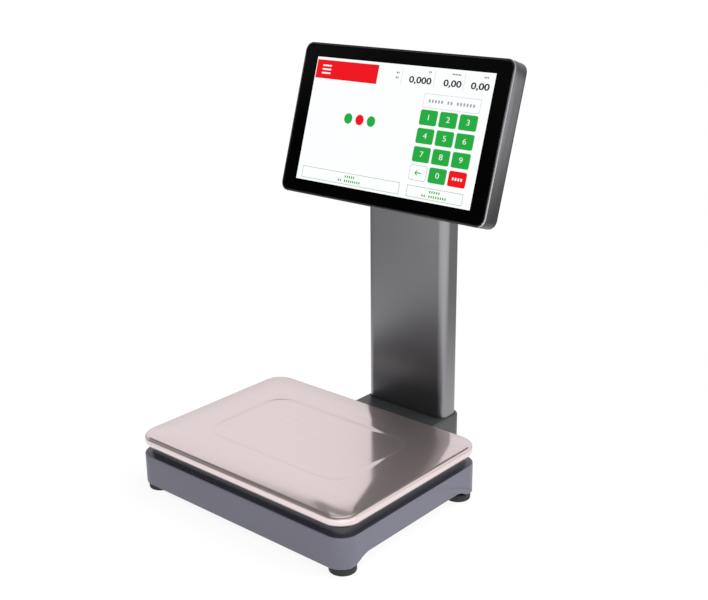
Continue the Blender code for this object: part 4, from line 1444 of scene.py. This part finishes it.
@dataclass
class Fasteners:
    """Button-head screws that show on the back, modelled once and copied; sizes are in head radii."""

    nodes: dict[str, Item]
    place: Matrix
    head: float = 0.55
    dome: float = 0.34
    socket: float = 0.52
    socket_tall: float = 0.7
    shank: float = 0.45
    shank_length: float = 1.6
    names: tuple[str, ...] = ("cover_screw", "bracket_screw", "column_screw", "head_screw")

    def build(self) -> None:
        """Seat a copy of the pattern in place of each screw."""
        pattern = self._pattern()
        for name in self.nodes:
            if name.startswith(self.names):
                self._seat(pattern, name, name.startswith(("cover", "bracket")))
        Bench.discard(pattern)

    def _pattern(self) -> Item:
        """Screw of unit head radius that points up, with a hexagon socket.

        Returns:
            The screw.
        """
        screw = Bench.disc("screw_pattern", 1.0, self.head, (0, 0, -self.head / 2), sides=40)
        Bench.bevel(screw, level(Axis.Z, 0.0), self.dome, steps=6)
        Bench.inset(screw, level(Axis.Z, -self.head), [(1.0 - self.shank, 0.0)])
        Bench.extrude(screw, level(Axis.Z, -self.head, MANY), (0, 0, -self.shank_length))
        Bench.carve(screw, Bench.disc("hexagon", self.socket, self.socket_tall, MIDDLE, sides=6))
        Bench.smooth(screw, degrees=30.0)
        return screw

    def _seat(self, pattern: Item, name: str, tilted: bool) -> None:
        """Copy the pattern to a screw's place and head size.

        Args:
            pattern: The screw of unit head radius.
            name: CAD node that the copy replaces.
            tilted: Whether it sits in the terminal.
        """
        frame = self.place if tilted else Matrix.Identity(4)
        node = self.nodes[name]
        points = [frame.inverted() @ node.matrix_world @ v.co for v in node.data.vertices]
        low, high = (Vector(edge(p[i] for p in points) for i in range(3)) for edge in (min, max))
        radius = (high.x - low.x) / 2
        spot = Matrix.Translation(((low.x + high.x) / 2, high.y, (low.z + high.z) / 2))
        turn = Matrix.Rotation(math.radians(-90), 4, "X") @ Matrix.Scale(radius, 4)
        item = Bench.copy(pattern, f"button_{name}", frame @ spot @ turn)
        install(item, "terminal" if tilted else "base", ZINC, [name])


@dataclass
class CarriedOver:
    """CAD nodes that keep their shape and get soft edges and a finish, by the words in their names."""

    nodes: dict[str, Item]
    soft_edge: float = 0.0004
    words: tuple[tuple[str, Finish], ...] = (
        ("bumper", PAD_RUBBER), ("washer", COVER_PLASTIC), ("screw", ZINC), ("nut", ZINC), ("pin", ZINC),
        ("chassis", ZINC), ("mast", ZINC), ("stiffener", ZINC), ("board", BOARD_GREEN), ("cell", ALLOY),
        ("vial", VIAL_GREEN), ("column_head", HEAD_SKIN), ("terminal_bracket", HEAD_SKIN),
        ("spider", HEAD_SKIN), ("lcd", ZINC),
    )

    def build(self) -> None:
        """Soften and finish every node."""
        for name, item in self.nodes.items():
            finish = next((finish for word, finish in self.words if word in name), COVER_PLASTIC)
            for slot in item.material_slots:
                slot.material = finish.material()
            soft = item.modifiers.new("soft_edge", "BEVEL")
            soft.width = self.soft_edge
            soft.segments = 2
            soft.limit_method = "ANGLE"
            soft.angle_limit = math.radians(40)
            soft.harden_normals = True


@dataclass
class Studio:
    """Pale floor, soft light and the camera of the photograph."""

    azimuth: float = 40.96
    elevation: float = 18.81
    roll: float = -0.57
    spot: Triple = (0.8191, -0.90765, 0.6381)
    focal_px: float = 1136.89
    sensor: float = 36.0
    floor_radius: float = 60.0
    floor_thick: float = 0.01
    floor_drop: float = 0.0052
    floor_glow: float = 0.88
    floor_near: Fade = Fade((0.25, 0.75), (1.0, 0.27))
    floor_right: Fade = Fade((0.15, 0.60), (0.0, 1.45))
    sweep: Fade = Fade((-0.90, 0.45), (0.35, 1.0))
    roof: Fade = Fade((0.54, 0.64), (1.0, 0.04))
    skirting: Fade = Fade((0.18, 0.42), (0.74, 1.0))
    lamp: Fade = Fade((0.83, 0.94), (0.0, 0.85))
    second: Fade = Fade((1.2, 1.8), (0.0, 0.95))
    wide_flag: Fade = Fade((0.76, 0.94), (0.0, 1.0))
    wide_aim: Triple = (-0.63, -0.74, 0.22)
    slim_flag: Fade = Fade((0.92, 0.98), (0.0, 0.96))
    slim_aim: Triple = (-0.62, -0.775, 0.13)
    glow: Fade = Fade((0.75, 0.98), (0.0, 0.95))
    glow_aim: Triple = (0.77, -0.63, 0.10)
    world_strength: float = 1.08
    suns: tuple[tuple[str, Triple, float], ...] = (
        ("front_sun", (0.15, -0.60, 0.78), 1.27), ("back_sun", (0.50, 0.45, 0.72), 2.4)
    )
    sun_angle: float = 60.0
    strip_spot: Triple = (1.15, -0.95, 0.45)
    strip_aim: Triple = (0.0, 0.05, 0.25)
    strip_size: Pair = (1.0, 1.5)
    strip_watts: float = 9.0

    def build(self) -> None:
        """Set up the scene around the object."""
        bpy.context.scene.view_settings.view_transform = "Standard"
        self._camera()
        self._floor()
        self._world()
        self._lights()

    def _camera(self) -> None:
        """Camera fitted to the photograph's edges."""
        lens = bpy.data.cameras.new("camera")
        lens.sensor_width = self.sensor
        lens.sensor_fit = "HORIZONTAL"
        lens.lens = self.focal_px / IMAGE_WIDTH * self.sensor
        camera = bpy.data.objects.new("camera", lens)
        bpy.context.scene.collection.objects.link(camera)
        az, el, roll = (math.radians(v) for v in (self.azimuth, self.elevation, self.roll))
        back = Vector((math.sin(az) * math.cos(el), -math.cos(az) * math.cos(el), math.sin(el)))
        right = Vector((math.cos(az), math.sin(az), 0.0))
        up = back.cross(right)
        right, up = right * math.cos(roll) + up * math.sin(roll), up * math.cos(roll) - right * math.sin(roll)
        turn = Matrix((right, up, back)).transposed().to_4x4()
        camera.matrix_world = Matrix.Translation(self.spot) @ turn
        bpy.context.scene.camera = camera

    def _floor(self) -> None:
        """Wide pale floor that keeps the shadow."""
        floor = Bench.disc("floor", self.floor_radius, self.floor_thick, (0, 0, -self.floor_drop), sides=96)
        material = bpy.data.materials.new("floor_pale")
        material.use_nodes = True
        sheet = Sheet(material.node_tree)
        spot = sheet.place()
        away = sheet.add("ShaderNodeVectorMath", {"operation": "LENGTH"}, {0: spot}, "Value")
        right = sheet.fade(sheet.part(spot, "X") - sheet.part(spot, "Y"), self.floor_right)
        light = sheet.ray("Is Camera Ray").top(sheet.fade(away, self.floor_near).top(right))
        matt = sheet.add("ShaderNodeBsdfDiffuse", {}, {"Color": PALE})
        white = sheet.add("ShaderNodeEmission", {}, {"Color": WHITE, "Strength": light})
        seen = sheet.ray("Is Camera Ray").top(sheet.ray("Is Glossy Ray"))
        seen = seen.top(sheet.ray("Is Transmission Ray"))
        sheet.show(sheet.mix(self.floor_glow * seen, matt, white))
        floor.data.materials.append(material)

    def _world(self) -> None:
        """White sweep that falls off above and towards the operator, with a lamp overhead."""
        world = bpy.data.worlds.new("studio")
        bpy.context.scene.world = world
        world.use_nodes = True
        sheet = Sheet(world.node_tree)
        way = sheet.add("ShaderNodeTexCoord", {}, {}, "Generated")
        rise = sheet.part(way, "Z")
        room = sheet.fade(sheet.part(way, "Y"), self.sweep)
        room = room * (sheet.fade(rise, self.roof) * sheet.fade(rise, self.skirting))
        wide = sheet.fade(sheet.ray("Glossy Depth"), self.second)
        wide = wide * self._near(sheet, way, self.wide_aim, self.wide_flag)
        room = room * (1.0 - wide.top(self._near(sheet, way, self.slim_aim, self.slim_flag)))
        room = room.top(self._near(sheet, way, self.glow_aim, self.glow)).top(sheet.fade(rise, self.lamp))
        soft = sheet.add("ShaderNodeBackground", {}, {"Color": room, "Strength": self.world_strength})
        white = sheet.add("ShaderNodeBackground", {}, {"Color": WHITE, "Strength": 1.0})
        sheet.show(sheet.mix(sheet.ray("Is Camera Ray"), soft, white), "ShaderNodeOutputWorld")

    @staticmethod
    def _near(sheet: Sheet, way: Wire, aim: Triple, fade: Fade) -> Wire:
        """Level that changes with how closely a direction points at an aim."""
        close = sheet.add("ShaderNodeVectorMath", {"operation": "DOT_PRODUCT"}, {0: way, 1: aim}, "Value")
        return sheet.fade(close, fade)

    def _lights(self) -> None:
        """Two wide soft suns for even light and a tall strip at the front right."""
        for name, way, strength in self.suns:
            sun = bpy.data.lights.new(name, "SUN")
            sun.energy = strength
            sun.angle = math.radians(self.sun_angle)
            self._hang(sun, MIDDLE, Vector(way))
        strip = bpy.data.lights.new("right_strip", "AREA")
        strip.shape = "RECTANGLE"
        strip.size, strip.size_y = self.strip_size
        strip.energy = self.strip_watts
        self._hang(strip, self.strip_spot, Vector(self.strip_spot) - Vector(self.strip_aim))

    @staticmethod
    def _hang(light: bpy.types.Light, spot: Triple, way: Vector) -> None:
        """Put up a light that gloss doesn't show.

        Args:
            light: The light.
            spot: Where it hangs.
            way: Direction that it shines from.
        """
        item = bpy.data.objects.new(light.name, light)
        bpy.context.scene.collection.objects.link(item)
        item.location = spot
        item.visible_glossy = False
        item.rotation_euler = way.to_track_quat("Z", "Y").to_euler()


def terminal_place(joints: Sequence[dict[str, Any]]) -> Matrix:
    """Matrix from the upright terminal frame to the model.

    Args:
        joints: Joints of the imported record.

    Returns:
        Its place at rest.
    """
    named = {joint["name"]: joint for joint in joints}
    pivot = named["terminal_tilt"]["pos_m"]
    press = named["power_press"]["axis"]
    return Matrix.Translation(pivot) @ Matrix.Rotation(math.atan2(press[2], press[1]) - math.pi, 4, "X")


def main() -> None:
    """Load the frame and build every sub-assembly."""
    logging.basicConfig(level=logging.INFO, format="%(message)s")
    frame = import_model()
    nodes = frame["nodes"]
    place = terminal_place(frame["joints"])
    skins = (Platter(), WeighBase(), Feet(), Mast(), Terminal(place), Screen(place), Fasteners(nodes, place))
    for part in (Studio(), CarriedOver(nodes), *skins):
        part.build()


if __name__ == "__main__":
    main()
